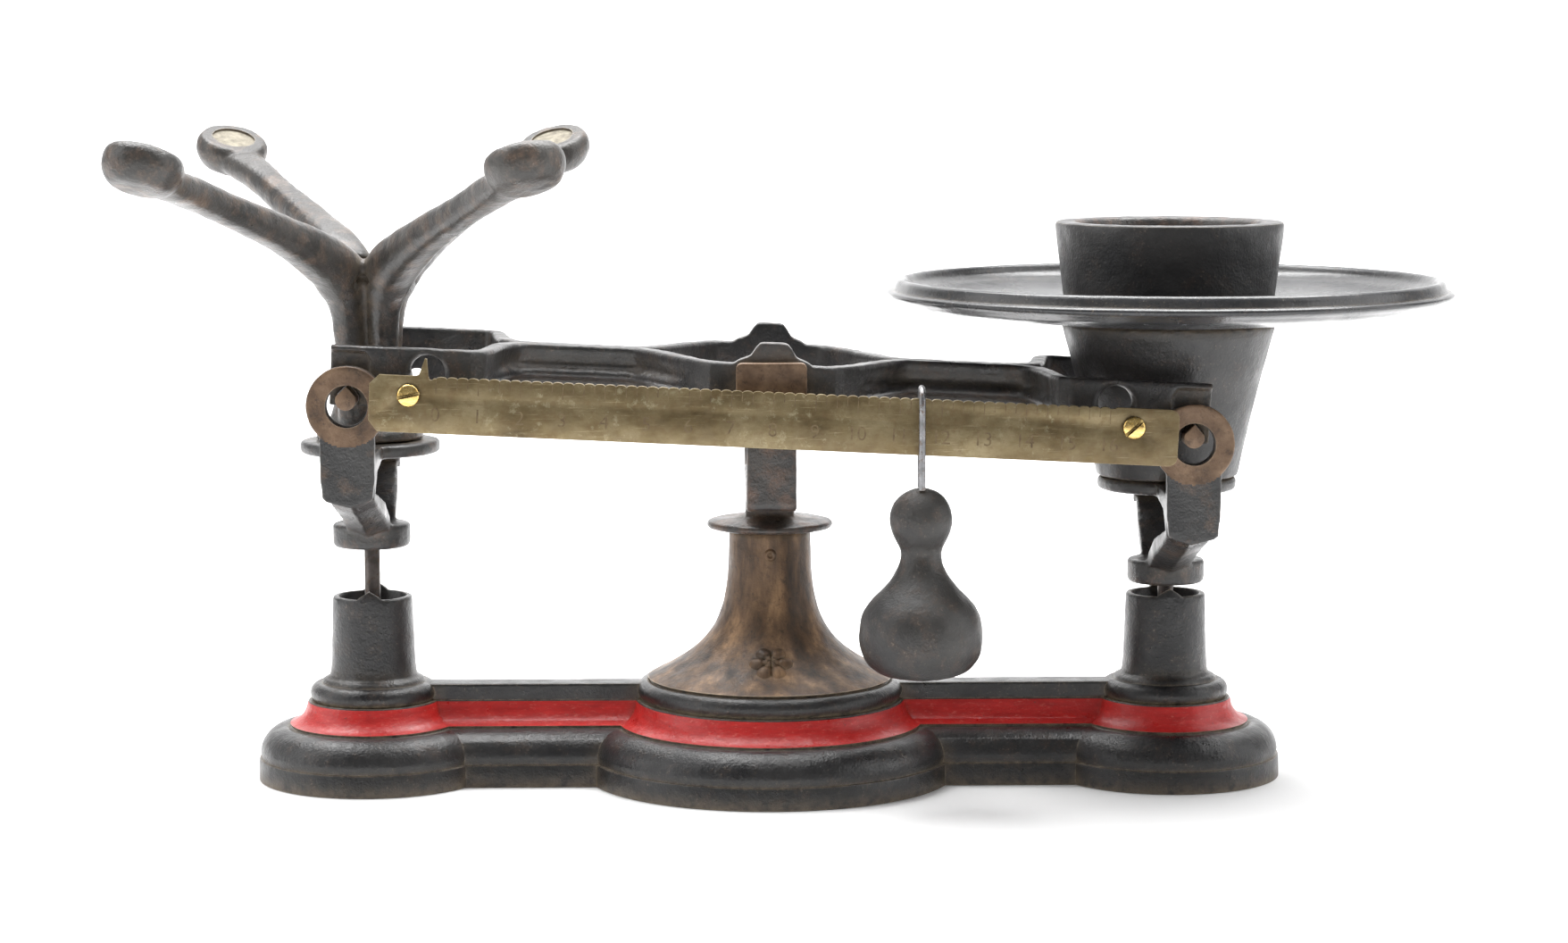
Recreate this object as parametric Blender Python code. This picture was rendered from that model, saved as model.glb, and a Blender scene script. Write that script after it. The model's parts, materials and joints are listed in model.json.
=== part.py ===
"""Antique cast-iron counter scale: an equal-arm beam on a pedestal, two level pans on check-rod stems,
a spider for the goods pan, a plate with a weight cup, and a graduated brass bar with a hanging poise.

Metres, +Z up. X runs along the beam, Y from front to back, and Z = 0 is the face that the base stands on.
"""

import math

import bmesh
import bpy
from mathutils import Matrix, Vector

MM = 0.001

# Base casting: a lobe in the middle, one at each end, and a bridge between them, all on one moulding.
BASE_LENGTH = 356.0
PAN_AXIS_X = 138.0
CENTRE_RADIUS = 64.0
END_RADIUS = BASE_LENGTH / 2 - PAN_AXIS_X
BRIDGE_RADIUS = 22.4
BRIDGE_TOP = 33.0
COLUMN_TOP = 63.6
COLUMN_RADIUS = 13.8
COLUMN_BORE = 11.5
NIB_HEIGHT = 3.0
BELL_BOTTOM = 34.6
BELL_TOP = 86.5
BELL_WAIST = 14.0
BELL_FLARE = 29.0
POST_BORE = 6.6
RIB_HALF_X = 9.0
RIB_TOP = 4.0

# Beam: everything on it is laid out level, and the whole beam is then tilted on its centre knife edges.
PIVOT_Z = 134.4
TILT = math.radians(2.75)
ARM = 141.0
WALL_Y = 43.6
WALL_THICK = 5.0
BEAM_TOP = 13.2
BEAM_BOTTOM = -7.0
HUMP_TOP = 20.4
# Openings through the beam walls: radius, distance out along the beam, height from its pivot.
# The front ones are round windows. The rear ones break through the bottom edge and leave an arched notch.
FRONT_WINDOW = (5.6, 114.8, 5.4)
REAR_NOTCH = (4.0, 125.0, -5.5)
RAIL_END = 147.0

# Graduated bar, in front of the hanger rings.
BAR_LEFT = -132.2
BAR_RIGHT = 134.2
BAR_TOP = 5.6
BAR_BOTTOM = -13.1
BAR_Y = -62.0
BAR_THICK = 2.0
SCALE_ZERO_X = -110.4
NOTCH_PITCH = 3.465
NOTCHES = 64
NOTCH_DEPTH = 0.55
STOP_SPIKE = 5.8
POISE_NOTCH = 46
BAIL_LENGTH = 30.3
BAR_SCREW_X = 119.3
BAR_SCREW_Z = -0.8

# Hangers, one under each end of the beam. Y is the middle of the ring plate.
RING_Y = 49.0
RING_THICK = 4.6
YOKE_FRONT = 50.4
RING_RADIUS = 13.5
RING_HOLE = 7.1
LINER_RADIUS = 8.6
LINER_LIP = 1.4
ARM_WIDTH = 18.2
PLATFORM_DROP = 23.1
PLATFORM_RADIUS = 24.0
PLATFORM_THICK = 4.5
STOP_DROP = 52.0
STOP_RADIUS = 13.4
STOP_THICK = 8.2
STEM_RADIUS = 2.7
FORK_HALF = 3.6

# Check link, hidden under the base, and the pins that it turns on.
LINK_Z = 12.0
LINK_PIN_RADIUS = 1.6
LINK_EYE = 2.5
GAP = 0.35

# Loads that lift off.
CONE_BOTTOM_RADIUS = 24.6
CONE_TOP_RADIUS = 36.6
CONE_HEIGHT = 53.0
PLATE_RADIUS = 97.3
CUP_BOTTOM_RADIUS = 36.0
CUP_TOP_RADIUS = 39.2
CUP_HEIGHT = 29.0
PLATE_FLOOR = 5.2
SPIDER_PAD = (60.0, 104.0, 96.0)
PAD_TILT = math.radians(24)
# Depth of an arm's end below its pad's centre, so that the arm stays clear of the flat top.
ARM_UNDER_PAD = 3.0
PAD_TOP = 6.0

JAPAN = ("black_japan", (0.030, 0.031, 0.034), 0.48, 0.35)
BRONZE = ("bronze_paint", (0.23, 0.125, 0.070), 0.50, 0.55)
BRASS = ("old_brass", (0.34, 0.255, 0.115), 0.42, 0.85)
BRASS_SCREW = ("bright_brass", (0.66, 0.47, 0.16), 0.28, 1.0)
STEEL = ("pivot_steel", (0.19, 0.135, 0.105), 0.40, 0.85)
WIRE = ("bail_wire", (0.22, 0.22, 0.23), 0.35, 0.90)


def clear_scene():
    for obj in list(bpy.data.objects):
        bpy.data.objects.remove(obj, do_unlink=True)


def material(spec):
    name, colour, roughness, metallic = spec
    found = bpy.data.materials.get(name)
    if found:
        return found
    made = bpy.data.materials.new(name)
    made.use_nodes = True
    shader = made.node_tree.nodes["Principled BSDF"]
    shader.inputs["Base Color"].default_value = (*colour, 1.0)
    shader.inputs["Roughness"].default_value = roughness
    shader.inputs["Metallic"].default_value = metallic
    made.diffuse_color = (*colour, 1.0)
    return made


def add_object(name, bm, spec=None, smooth=False):
    """Makes an object from a bmesh in millimetres. One with no material is a cutter or a tool."""
    bmesh.ops.scale(bm, vec=(MM, MM, MM), verts=bm.verts)
    bmesh.ops.recalc_face_normals(bm, faces=bm.faces)
    mesh = bpy.data.meshes.new(name)
    bm.to_mesh(mesh)
    bm.free()
    obj = bpy.data.objects.new(name, mesh)
    bpy.context.scene.collection.objects.link(obj)
    if spec is None:
        obj.hide_render = True
        obj.display_type = "WIRE"
    else:
        mesh.materials.append(material(spec))
        mesh.shade_smooth() if smooth else mesh.shade_flat()
    return obj


def combine(obj, tool, operation):
    modifier = obj.modifiers.new(f"{operation.lower()}_{tool.name}", "BOOLEAN")
    modifier.operation = operation
    modifier.solver = "EXACT"
    modifier.object = tool


def arc(centre, radii, start, end, steps):
    """Points on an ellipse from start to end, in degrees."""
    points = []
    for i in range(steps + 1):
        angle = math.radians(start + (end - start) * i / steps)
        points.append((centre[0] + radii[0] * math.cos(angle), centre[1] + radii[1] * math.sin(angle)))
    return points


def lathe(profile, segments, centre=(0.0, 0.0), closed=False):
    """Turns (radius, z) points round a vertical axis. An open profile starts and ends on the axis."""
    bm = bmesh.new()
    rings = []
    for radius, z in profile:
        if radius < 1e-6:
            rings.append([bm.verts.new((centre[0], centre[1], z))])
            continue
        ring = []
        for i in range(segments):
            angle = 2 * math.pi * i / segments
            x = centre[0] + radius * math.cos(angle)
            y = centre[1] + radius * math.sin(angle)
            ring.append(bm.verts.new((x, y, z)))
        rings.append(ring)
    pairs = list(zip(rings, rings[1:]))
    if closed:
        pairs.append((rings[-1], rings[0]))
    for low, high in pairs:
        for i in range(segments):
            j = (i + 1) % segments
            corners = [low[i % len(low)], low[j % len(low)], high[j % len(high)], high[i % len(high)]]
            unique = list(dict.fromkeys(corners))
            if len(unique) > 2:
                bm.faces.new(unique)
    return bm


def prism(outline, low, high, axis="Y"):
    """Extrudes a closed outline: (x, z) points on axis Y, (y, z) points on X, and (x, y) points on Z."""
    place = {
        "X": lambda a, b, c: (c, a, b),
        "Y": lambda a, b, c: (a, c, b),
        "Z": lambda a, b, c: (a, b, c),
    }[axis]
    bm = bmesh.new()
    near = [bm.verts.new(place(a, b, low)) for a, b in outline]
    far = [bm.verts.new(place(a, b, high)) for a, b in outline]
    bm.faces.new(near)
    bm.faces.new(list(reversed(far)))
    for i in range(len(outline)):
        j = (i + 1) % len(outline)
        bm.faces.new((near[j], near[i], far[i], far[j]))
    return bm


def rod(radius, low, high, centre, axis="Z", segments=16):
    """A round bar along an axis. The centre is its place in the other two directions."""
    return prism(arc(centre, (radius, radius), 0, 360 - 360 / segments, segments - 1), low, high, axis)


def block(low, high):
    section = [(low[0], low[2]), (high[0], low[2]), (high[0], high[2]), (low[0], high[2])]
    return prism(section, low[1], high[1])


def mirrored(points):
    """A left half outline followed by its mirror image, right to left across the first coordinate."""
    return points + [(-a, b) for a, b in reversed(points) if abs(a) > 1e-9]


def moulding(radius, foot):
    """The stepped moulding that the lobes and the bridge share, from its foot up to its top bead."""
    return [
        (radius, foot),
        (radius, 7.5),
        (radius - 0.9, 8.4),
        *arc((radius - 10.0, 9.0), (9.8, 9.4), 8, 82, 4),
        (radius - 11.2, 19.2),
        *arc((radius - 9.6, 27.6), (7.4, 8.2), 258, 186, 2),
        (radius - 17.4, 27.0),
    ]


def base_casting():
    bell = []
    for step in range(8):
        z = BELL_BOTTOM + (BELL_TOP - BELL_BOTTOM) * (step / 7) ** 1.25
        bell.append((BELL_WAIST + BELL_FLARE * math.exp(-(((z - BELL_BOTTOM) / 11.6) ** 1.15)), z))
    centre_bead = arc((CENTRE_RADIUS - 21.4, 30.6), (3.6, 3.6), -60, 75, 3)
    centre = [(0.0, -2.0), *moulding(CENTRE_RADIUS, -2.0), *centre_bead, *bell, (0.0, BELL_TOP)]
    body = add_object("base_casting", lathe(centre, 40), JAPAN, smooth=True)

    end_bead = arc((END_RADIUS - 21.6, 30.4), (3.8, 3.6), -60, 70, 3)
    column = [(15.4, 34.6), (14.75, 37.0), (COLUMN_RADIUS, COLUMN_TOP)]
    for side in (-1, 1):
        bore = [(COLUMN_BORE, COLUMN_TOP), (COLUMN_BORE, 40.0), (0.0, 40.0)]
        profile = [(0.0, -3.0), *moulding(END_RADIUS, -3.0), *end_bead, *column, *bore]
        bm = lathe(profile, 32, (side * PAN_AXIS_X, 0.0))
        raise_nibs(bm, side * PAN_AXIS_X)
        combine(body, add_object(f"end_lobe_{side}", bm), "UNION")

    half = [*moulding(BRIDGE_RADIUS, -4.0), (BRIDGE_RADIUS - 17.4, BRIDGE_TOP)]
    bridge = add_object("bridge", prism([(y, z) for y, z in mirrored(half)], -PAN_AXIS_X, PAN_AXIS_X, "X"))
    combine(body, bridge, "UNION")

    floor = add_object("floor_cut", block((-200.0, -90.0, -20.0), (200.0, 90.0, 0.0)))
    combine(body, floor, "DIFFERENCE")
    for tool in base_hollows():
        combine(body, tool, "DIFFERENCE")
    for tool in link_bracket():
        combine(body, tool, "UNION")
    bracket_bore = rod(LINK_PIN_RADIUS + GAP, -9.5, 9.5, (0.0, LINK_Z), "Y")
    combine(body, add_object("bracket_bore", bracket_bore), "DIFFERENCE")
    return body


def raise_nibs(bm, centre_x):
    """Pulls the column's rim up into a small rounded stop at the front and at the back."""
    for vert in bm.verts:
        if abs(vert.co.z - COLUMN_TOP) > 1e-6:
            continue
        lean = abs(math.atan2(vert.co.x - centre_x, abs(vert.co.y)))
        if lean < math.radians(18):
            vert.co.z += NIB_HEIGHT * math.cos(lean / math.radians(18) * math.pi / 2) ** 1.5


def base_hollows():
    """The underside is open: one hollow in each lobe, one along the bridge, and the bores above them."""
    tools = []
    centre = [(0, -5), (57, -5), (57, 7), (47, 16), (40, 22), (28, 32), (14, 42), (12, 50)]
    centre += [(POST_BORE, 52), (POST_BORE, 90), (0, 90)]
    tools.append(add_object("centre_hollow", lathe(centre, 40)))
    end = [(0, -6), (34, -6), (34, 7), (25, 16), (17, 22), (COLUMN_BORE, 29), (COLUMN_BORE, 45), (0, 45)]
    for side in (-1, 1):
        tools.append(add_object(f"end_hollow_{side}", lathe(end, 32, (side * PAN_AXIS_X, 0.0))))
    half = [(17.0, -7.0), (17.0, 7.0), (8.0, 15.0), (4.6, 19.5), (3.4, 22.5)]
    channel = prism(mirrored(half), -PAN_AXIS_X + 6, PAN_AXIS_X - 6, "X")
    tools.append(add_object("bridge_hollow", channel))
    return tools


def link_bracket():
    """A rib across the centre lobe, level with the standing face, and two ears for the check link's pin."""
    tools = [add_object("cross_rib", block((-RIB_HALF_X, -59.0, 0.0), (RIB_HALF_X, 59.0, RIB_TOP)))]
    for side in (-1, 1):
        ear = [(-5.0, 1.0), (5.0, 1.0), *arc((0.0, LINK_Z), (5.0, 5.0), 0, 180, 6)]
        low, high = sorted((side * 2.8, side * 8.0))
        tools.append(add_object(f"pin_ear_{side}", prism(ear, low, high)))
    return tools


def fulcrum_yoke():
    """Collar on the pedestal, post in the pedestal's bore, and a U yoke up to the two centre bearings."""
    collar = [
        (0.0, 45.0),
        (POST_BORE - GAP, 45.0),
        (POST_BORE - GAP, 86.9),
        (20.8, 86.9),
        (21.7, 88.0),
        (21.4, 89.6),
        (9.0, 91.0),
        (0.0, 91.0),
    ]
    yoke = add_object("fulcrum_yoke", lathe(collar, 32), JAPAN)
    outer = [(YOKE_FRONT, 127.5), (YOKE_FRONT, 101.0), (YOKE_FRONT - 2.6, 98.4), (8.3, 98.4), (8.3, 90.0)]
    inner = [(-46.6, 127.5), (-46.6, 106.0), (-44.0, 104.0), (0.0, 104.0)]
    shape = mirrored(outer) + mirrored(inner)
    combine(yoke, add_object("yoke_arms", prism(shape, -8.35, 8.35, "X")), "UNION")
    return yoke


def head_block(side):
    """Cap on top of a yoke arm. Its inner face has a pocket for the bearing and the knife edge."""
    low, high = sorted((side * 46.6, side * YOKE_FRONT))
    name = "front" if side < 0 else "rear"
    cap = add_object(f"head_block_{name}", block((-11.8, low, 127.85), (11.8, high, 148.4)), BRONZE)
    deep_low, deep_high = sorted((side * 45.0, side * (YOKE_FRONT - 0.9)))
    pocket = block((-6.0, deep_low, 129.2), (6.0, deep_high, 143.6))
    combine(cap, add_object(f"pocket_{name}", pocket), "DIFFERENCE")
    seat_low, seat_high = sorted((side * 46.6, side * (YOKE_FRONT - 1.25)))
    vee = [(-5.6, 129.55), (5.6, 129.55), (5.6, 136.4), (0.0, PIVOT_Z - GAP), (-5.6, 136.4)]
    seat = add_object(f"centre_bearing_{name}", prism(vee, seat_low, seat_high), STEEL)
    return [cap, seat]


def fulcrum_nut():
    nut = add_object("fulcrum_nut", rod(11.0, 45.6, 49.6, (0.0, 0.0), "Z", 6), STEEL)
    combine(nut, add_object("nut_bore", rod(POST_BORE, 44.0, 51.0, (0.0, 0.0), "Z", 24)), "DIFFERENCE")
    return nut


def link_pin():
    pin = add_object("check_link_pin", rod(LINK_PIN_RADIUS, -11.0, 11.0, (0.0, LINK_Z), "Y", 12), STEEL)
    for side in (-1, 1):
        low, high = sorted((side * 8.35, side * 10.6))
        combine(pin, add_object(f"pin_head_{side}", rod(3.2, low, high, (0.0, LINK_Z), "Y", 12)), "UNION")
    return pin


def smooth_step(t):
    t = min(max(t, 0.0), 1.0)
    return t * t * (3 - 2 * t)


def beam_half(side):
    """One side of the beam in plan: wall at the centre bearing, web in the middle, rail at each end."""
    route = [(17.0, WALL_Y)]
    for step in range(1, 7):
        t = step / 6
        route.append((17.0 + 31.0 * t, WALL_Y + (2.0 - WALL_Y) * smooth_step(t)))
    route += [(84.0, 2.0), (91.0, 7.0), (94.6, 24.0), (96.5, 40.0), (100.0, WALL_Y), (RAIL_END, WALL_Y)]
    route = [(-x, y) for x, y in reversed(route)] + route
    return offset_strip([(x, side * y) for x, y in route], WALL_THICK / 2)


def offset_strip(route, half):
    """A strip of even width along a route, as one closed outline."""
    left, right = [], []
    for i, point in enumerate(route):
        before = Vector(route[max(i - 1, 0)])
        after = Vector(route[min(i + 1, len(route) - 1)])
        here = Vector(point)
        normals = []
        for a, b in ((before, here), (here, after)):
            if (b - a).length > 1e-9:
                direction = (b - a).normalized()
                normals.append(Vector((-direction.y, direction.x)))
        normal = sum(normals, Vector((0.0, 0.0))).normalized()
        reach = half / max(normal.dot(normals[0]), 0.35)
        left.append(tuple(here + normal * reach))
        right.append(tuple(here - normal * reach))
    return left + list(reversed(right))


def beam_casting(pivot):
    """The two sides of the beam, joined along the web. The tools ride on the pivot and tilt with it."""
    beam = add_object("beam_casting", prism(beam_half(-1), BEAM_BOTTOM, BEAM_TOP, "Z"), JAPAN)
    rear = add_object("beam_rear_half", prism(beam_half(1), BEAM_BOTTOM - 0.02, BEAM_TOP + 0.02, "Z"))
    for side, half in ((-1, beam), (1, rear)):
        for tool, operation in side_tools(side):
            tool.parent = pivot
            combine(half, tool, operation)
    for end in (-1, 1):
        place = (end * BAR_SCREW_X, BAR_SCREW_Z)
        boss = add_object(f"boss_{end}", rod(3.1, BAR_Y + BAR_THICK / 2 + GAP, -WALL_Y, place, "Y", 16))
        hole = add_object(f"boss_hole_{end}", rod(1.5 + GAP, -80.0, -WALL_Y + 4, place, "Y", 12))
        for tool, operation in ((boss, "UNION"), (hole, "DIFFERENCE")):
            tool.parent = pivot
            combine(beam, tool, operation)
    rear.parent = pivot
    combine(beam, rear, "UNION")
    return beam


def side_tools(side):
    """What one side of the beam gains and loses: its hump, its openings, and the knife edges' sockets."""
    foot = [(-13.0, BEAM_TOP - 3.0), (-13.0, BEAM_TOP - 0.6), (-9.0, BEAM_TOP + 2.2)]
    hump = mirrored([*foot, (-4.8, HUMP_TOP)])
    low, high = sorted((side * (WALL_Y - 2.2), side * (WALL_Y + 2.2)))
    tools = [(add_object(f"hump_{side}", prism(hump, low, high)), "UNION")]
    low, high = sorted((side * (WALL_Y - 6.0), side * (WALL_Y + 6.0)))
    radius, out, up = FRONT_WINDOW if side < 0 else REAR_NOTCH
    for end in (-1, 1):
        opening = rod(radius, low, high, (end * out, up), "Y", 20)
        tools.append((add_object(f"opening_{side}_{end}", opening), "DIFFERENCE"))
        socket = prism(teardrop(end * ARM, GAP), low, high)
        tools.append((add_object(f"end_socket_{side}_{end}", socket), "DIFFERENCE"))
    tools.append((add_object(f"centre_socket_{side}", prism(centre_edge(GAP), low, high)), "DIFFERENCE"))
    return tools


def teardrop(centre_x, grow=0.0):
    """Section of an end knife edge: a round back with its sharp edge upwards."""
    back = arc((centre_x, -4.6), (3.45 + grow, 3.45 + grow), 160, 380, 8)
    return [*back, (centre_x, grow * 1.6)]


def centre_edge(grow=0.0):
    """Section of a centre knife edge: a round back with its sharp edge downwards."""
    back = arc((0.0, 4.6), (3.2 + grow, 3.2 + grow), -20, 200, 8)
    return [*back, (0.0, -grow * 1.6)]


def knife_edges():
    made = []
    for side, where in ((-1, "front"), (1, "rear")):
        low, high = sorted((side * (WALL_Y - 2.5), side * (YOKE_FRONT - 1.4)))
        made.append(add_object(f"centre_knife_{where}", prism(centre_edge(), low, high), STEEL))
        low, high = sorted((side * (WALL_Y - 2.5), side * 51.6))
        for end, name in ((-1, "left"), (1, "right")):
            made.append(add_object(f"{name}_knife_{where}", prism(teardrop(end * ARM), low, high), STEEL))
    return made


def graduated_bar():
    """Brass bar with a scalloped top edge, four scallops to a division, and a stop at zero."""
    corner = 2.0
    tip = BAR_TOP + STOP_SPIKE
    top = [(BAR_LEFT + corner, BAR_TOP), (-115.6, BAR_TOP), (-114.4, tip), (-113.6, tip)]
    top += [(-113.1, BAR_TOP - NOTCH_DEPTH), (-112.2, BAR_TOP - NOTCH_DEPTH)]
    for notch in range(NOTCHES):
        start = SCALE_ZERO_X + notch * NOTCH_PITCH
        top.append((start, BAR_TOP - NOTCH_DEPTH))
        top.append((start + NOTCH_PITCH / 2, BAR_TOP))
    end = SCALE_ZERO_X + NOTCHES * NOTCH_PITCH
    top += [(end, BAR_TOP - NOTCH_DEPTH), (end + 1.2, BAR_TOP)]
    top += [(BAR_RIGHT - corner, BAR_TOP), (BAR_RIGHT, BAR_TOP - corner)]
    bottom = [(BAR_RIGHT, BAR_BOTTOM + corner), (BAR_RIGHT - corner, BAR_BOTTOM)]
    bottom += [(BAR_LEFT + corner, BAR_BOTTOM), (BAR_LEFT, BAR_BOTTOM + corner)]
    bottom.append((BAR_LEFT, BAR_TOP - corner))
    outline = prism(top + bottom, BAR_Y - BAR_THICK / 2, BAR_Y + BAR_THICK / 2)
    bar = add_object("graduated_bar", outline, BRASS)
    holes = []
    for end in (-1, 1):
        hole = rod(1.5 + GAP, BAR_Y - 3, BAR_Y + 3, (end * BAR_SCREW_X, BAR_SCREW_Z), "Y", 12)
        holes.append(add_object(f"bar_hole_{end}", hole))
        combine(bar, holes[-1], "DIFFERENCE")
    return [bar, *holes]


def bar_screw(end, name, slot_angle):
    front = BAR_Y - BAR_THICK / 2 - GAP
    x = end * BAR_SCREW_X
    shank = rod(1.5, front - 0.5, -WALL_Y + 1.5, (x, BAR_SCREW_Z), "Y", 12)
    screw = add_object(f"bar_screw_{name}", shank, BRASS_SCREW)
    head = add_object(f"screw_head_{name}", rod(3.7, front - 1.9, front, (x, BAR_SCREW_Z), "Y", 20))
    turn = Matrix.Rotation(slot_angle, 3, "Y")
    slot_mesh = block((-4.2, -0.8, -0.45), (4.2, 0.8, 0.45))
    bmesh.ops.rotate(slot_mesh, matrix=turn, verts=slot_mesh.verts)
    bmesh.ops.translate(slot_mesh, vec=(x, front - 1.9, BAR_SCREW_Z), verts=slot_mesh.verts)
    slot = add_object(f"screw_slot_{name}", slot_mesh)
    combine(screw, head, "UNION")
    combine(screw, slot, "DIFFERENCE")
    return [screw, head, slot]


def end_apex(end):
    """Where an end knife edge lies once the beam is tilted."""
    return (end * ARM * math.cos(TILT), PIVOT_Z - end * ARM * math.sin(TILT))


def hanger(end, name):
    """Platform disc and stop disc on one upright, between two arms that end in rings on the knife edges."""
    apex_x, apex_z = end_apex(end)
    axis_x = end * PAN_AXIS_X
    ring_z = apex_z - RING_HOLE + GAP
    top = apex_z - PLATFORM_DROP
    stop_top = apex_z - STOP_DROP
    bottom = top - PLATFORM_THICK
    platform = [
        (0.0, bottom),
        (PLATFORM_RADIUS - 1.2, bottom),
        (PLATFORM_RADIUS, bottom + 1.4),
        (PLATFORM_RADIUS, top - 1.2),
        (PLATFORM_RADIUS - 1.0, top),
        (0.0, top),
    ]
    body = add_object(f"{name}_hanger", lathe(platform, 40, (axis_x, 0.0)), JAPAN)
    stop_bottom = stop_top - STOP_THICK
    stop = [(0.0, stop_bottom), (STOP_RADIUS - 1.4, stop_bottom), (STOP_RADIUS, stop_bottom + 1.6)]
    stop += [(STOP_RADIUS, stop_top), (0.0, stop_top)]
    combine(body, add_object(f"{name}_stop_disc", lathe(stop, 32, (axis_x, 0.0))), "UNION")
    outer = RING_Y + RING_THICK / 2
    inner = RING_Y - RING_THICK / 2
    half = [(outer, ring_z), (outer, top - 14.5), (outer - 2.5, top - 16.8), (11.0, stop_top - 3.0)]
    leg = [(0.0, stop_top - 0.5), (9.5, stop_top - 0.5), (35.0, top - 15.0), (42.5, top - 14.0)]
    leg += [(40.0, top - 10.4), (26.0, top - 7.2), (0.0, top - 6.6)]
    inside = [(-inner, ring_z), (-inner, top - 2.0), (-inner + 1.5, top - 0.4)]
    outline = mirrored(half) + mirrored(inside)
    low, high = sorted((apex_x - ARM_WIDTH / 2, apex_x + ARM_WIDTH / 2))
    combine(body, add_object(f"{name}_arms", prism(outline, low, high, "X")), "UNION")
    window = leg + [(-y, z) for y, z in reversed(leg) if y > 0]
    combine(body, add_object(f"{name}_leg_window", prism(window, low - 5, high + 5, "X")), "DIFFERENCE")
    for side in (-1, 1):
        edge_low, edge_high = sorted((side * inner, side * outer))
        ring = rod(RING_RADIUS, edge_low, edge_high, (apex_x, ring_z), "Y", 32)
        combine(body, add_object(f"{name}_ring_{side}", ring), "UNION")
    for side in (-1, 1):
        edge_low, edge_high = sorted((side * (inner - 2), side * (outer + 2)))
        hole = rod(RING_HOLE, edge_low, edge_high, (apex_x, ring_z), "Y", 24)
        combine(body, add_object(f"{name}_ring_hole_{side}", hole), "DIFFERENCE")
        edge_low, edge_high = sorted((side * (inner - 2), side * (outer - LINER_LIP)))
        seat = rod(LINER_RADIUS + GAP, edge_low, edge_high, (apex_x, ring_z), "Y", 24)
        combine(body, add_object(f"{name}_bearing_seat_{side}", seat), "DIFFERENCE")
    for side in (-1, 1):
        taper_x = axis_x - end * 1.0
        for edge in (-1, 1):
            reach = apex_x + edge * (ARM_WIDTH / 2 + 3.0)
            near = taper_x + edge * 7.6
            far = reach + edge * 6.0
            low_z = stop_bottom - 2.0
            cut = [(reach, top - 15.2), (near + edge * 1.4, top - 16.6), (near, stop_top), (near, low_z)]
            cut += [(far, low_z), (far, top - 15.2)]
            taper = prism(cut, *sorted((side * 14.2, side * 60.0)))
            tool = add_object(f"{name}_leg_taper_{side}_{edge}", taper)
            combine(body, tool, "DIFFERENCE")
    stem_bore = rod(STEM_RADIUS + GAP, stop_bottom - 2.0, stop_top - 2.0, (axis_x, 0.0), "Z", 16)
    combine(body, add_object(f"{name}_stem_bore", stem_bore), "DIFFERENCE")
    return body


def stem(end, name):
    """Rod from the stop disc down the column. Its foot is a fork with a pin for the check link."""
    apex_z = end_apex(end)[1]
    axis_x = end * PAN_AXIS_X
    pin_z = LINK_Z - end * PAN_AXIS_X * math.sin(TILT)
    rod_top = apex_z - STOP_DROP - 2.0 - GAP
    fork_top = pin_z + 13.0
    shaft = rod(STEM_RADIUS, fork_top - 1.0, rod_top, (axis_x, 0.0), "Z", 16)
    body = add_object(f"{name}_stem", shaft, STEEL)
    fork = [(axis_x - FORK_HALF, fork_top), (axis_x - FORK_HALF, pin_z)]
    fork += arc((axis_x, pin_z), (FORK_HALF, FORK_HALF), 200, 340, 5)
    fork += [(axis_x + FORK_HALF, pin_z), (axis_x + FORK_HALF, fork_top)]
    combine(body, add_object(f"{name}_fork", prism(fork, -6.4, 6.4)), "UNION")
    slot = block((axis_x - 6.0, -3.1, pin_z - 6.0), (axis_x + 6.0, 3.1, fork_top - 3.0))
    combine(body, add_object(f"{name}_fork_slot", slot), "DIFFERENCE")
    pin_bore = rod(LINK_PIN_RADIUS + GAP, -8.0, 8.0, (axis_x, pin_z), "Y", 12)
    combine(body, add_object(f"{name}_fork_bore", pin_bore), "DIFFERENCE")
    pin = add_object(f"{name}_stem_pin", rod(LINK_PIN_RADIUS, -7.6, 7.6, (axis_x, pin_z), "Y", 12), STEEL)
    return [body, pin]


def ring_bearings(end, name):
    """Hardened steel liner let into the back of each ring, for the knife edge to carry."""
    apex_x, apex_z = end_apex(end)
    ring_z = apex_z - RING_HOLE + GAP
    for side, where in ((-1, "front"), (1, "rear")):
        back = RING_Y - RING_THICK / 2
        low, high = sorted((side * back, side * (back + RING_THICK - LINER_LIP - GAP)))
        liner = rod(LINER_RADIUS, low, high, (apex_x, ring_z), "Y", 24)
        made = add_object(f"{name}_bearing_{where}", liner, STEEL)
        bore = rod(RING_HOLE, low - 2, high + 2, (apex_x, ring_z), "Y", 24)
        combine(made, add_object(f"{name}_bearing_bore_{where}", bore), "DIFFERENCE")


def check_link(pivot):
    """Bar under the base, with an eye on the centre pin and one on each stem's pin."""
    half = [(-PAN_AXIS_X, -2.6), (-PAN_AXIS_X, 2.6), (-8.0, 3.2)]
    bar = half + [(8.0, 3.2), (PAN_AXIS_X, 2.6), (PAN_AXIS_X, -2.6), (8.0, -3.2), (-8.0, -3.2)]
    link = add_object("check_link", prism(bar, -2.0, 2.0), STEEL)
    tools = []
    eyes = [(-PAN_AXIS_X, 4.0, LINK_EYE), (0.0, 4.3, LINK_PIN_RADIUS + GAP), (PAN_AXIS_X, 4.0, LINK_EYE)]
    for x, radius, hole in eyes:
        eye = add_object(f"link_eye_{x:.0f}", rod(radius, -2.0, 2.0, (x, 0.0), "Y", 20))
        combine(link, eye, "UNION")
        tools.append((eye, x, hole))
    for eye, x, hole in tools:
        bore = add_object(f"link_bore_{x:.0f}", rod(hole, -4.0, 4.0, (x, 0.0), "Y", 16))
        combine(link, bore, "DIFFERENCE")
        eye.parent = pivot
        bore.parent = pivot
    return link


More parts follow.
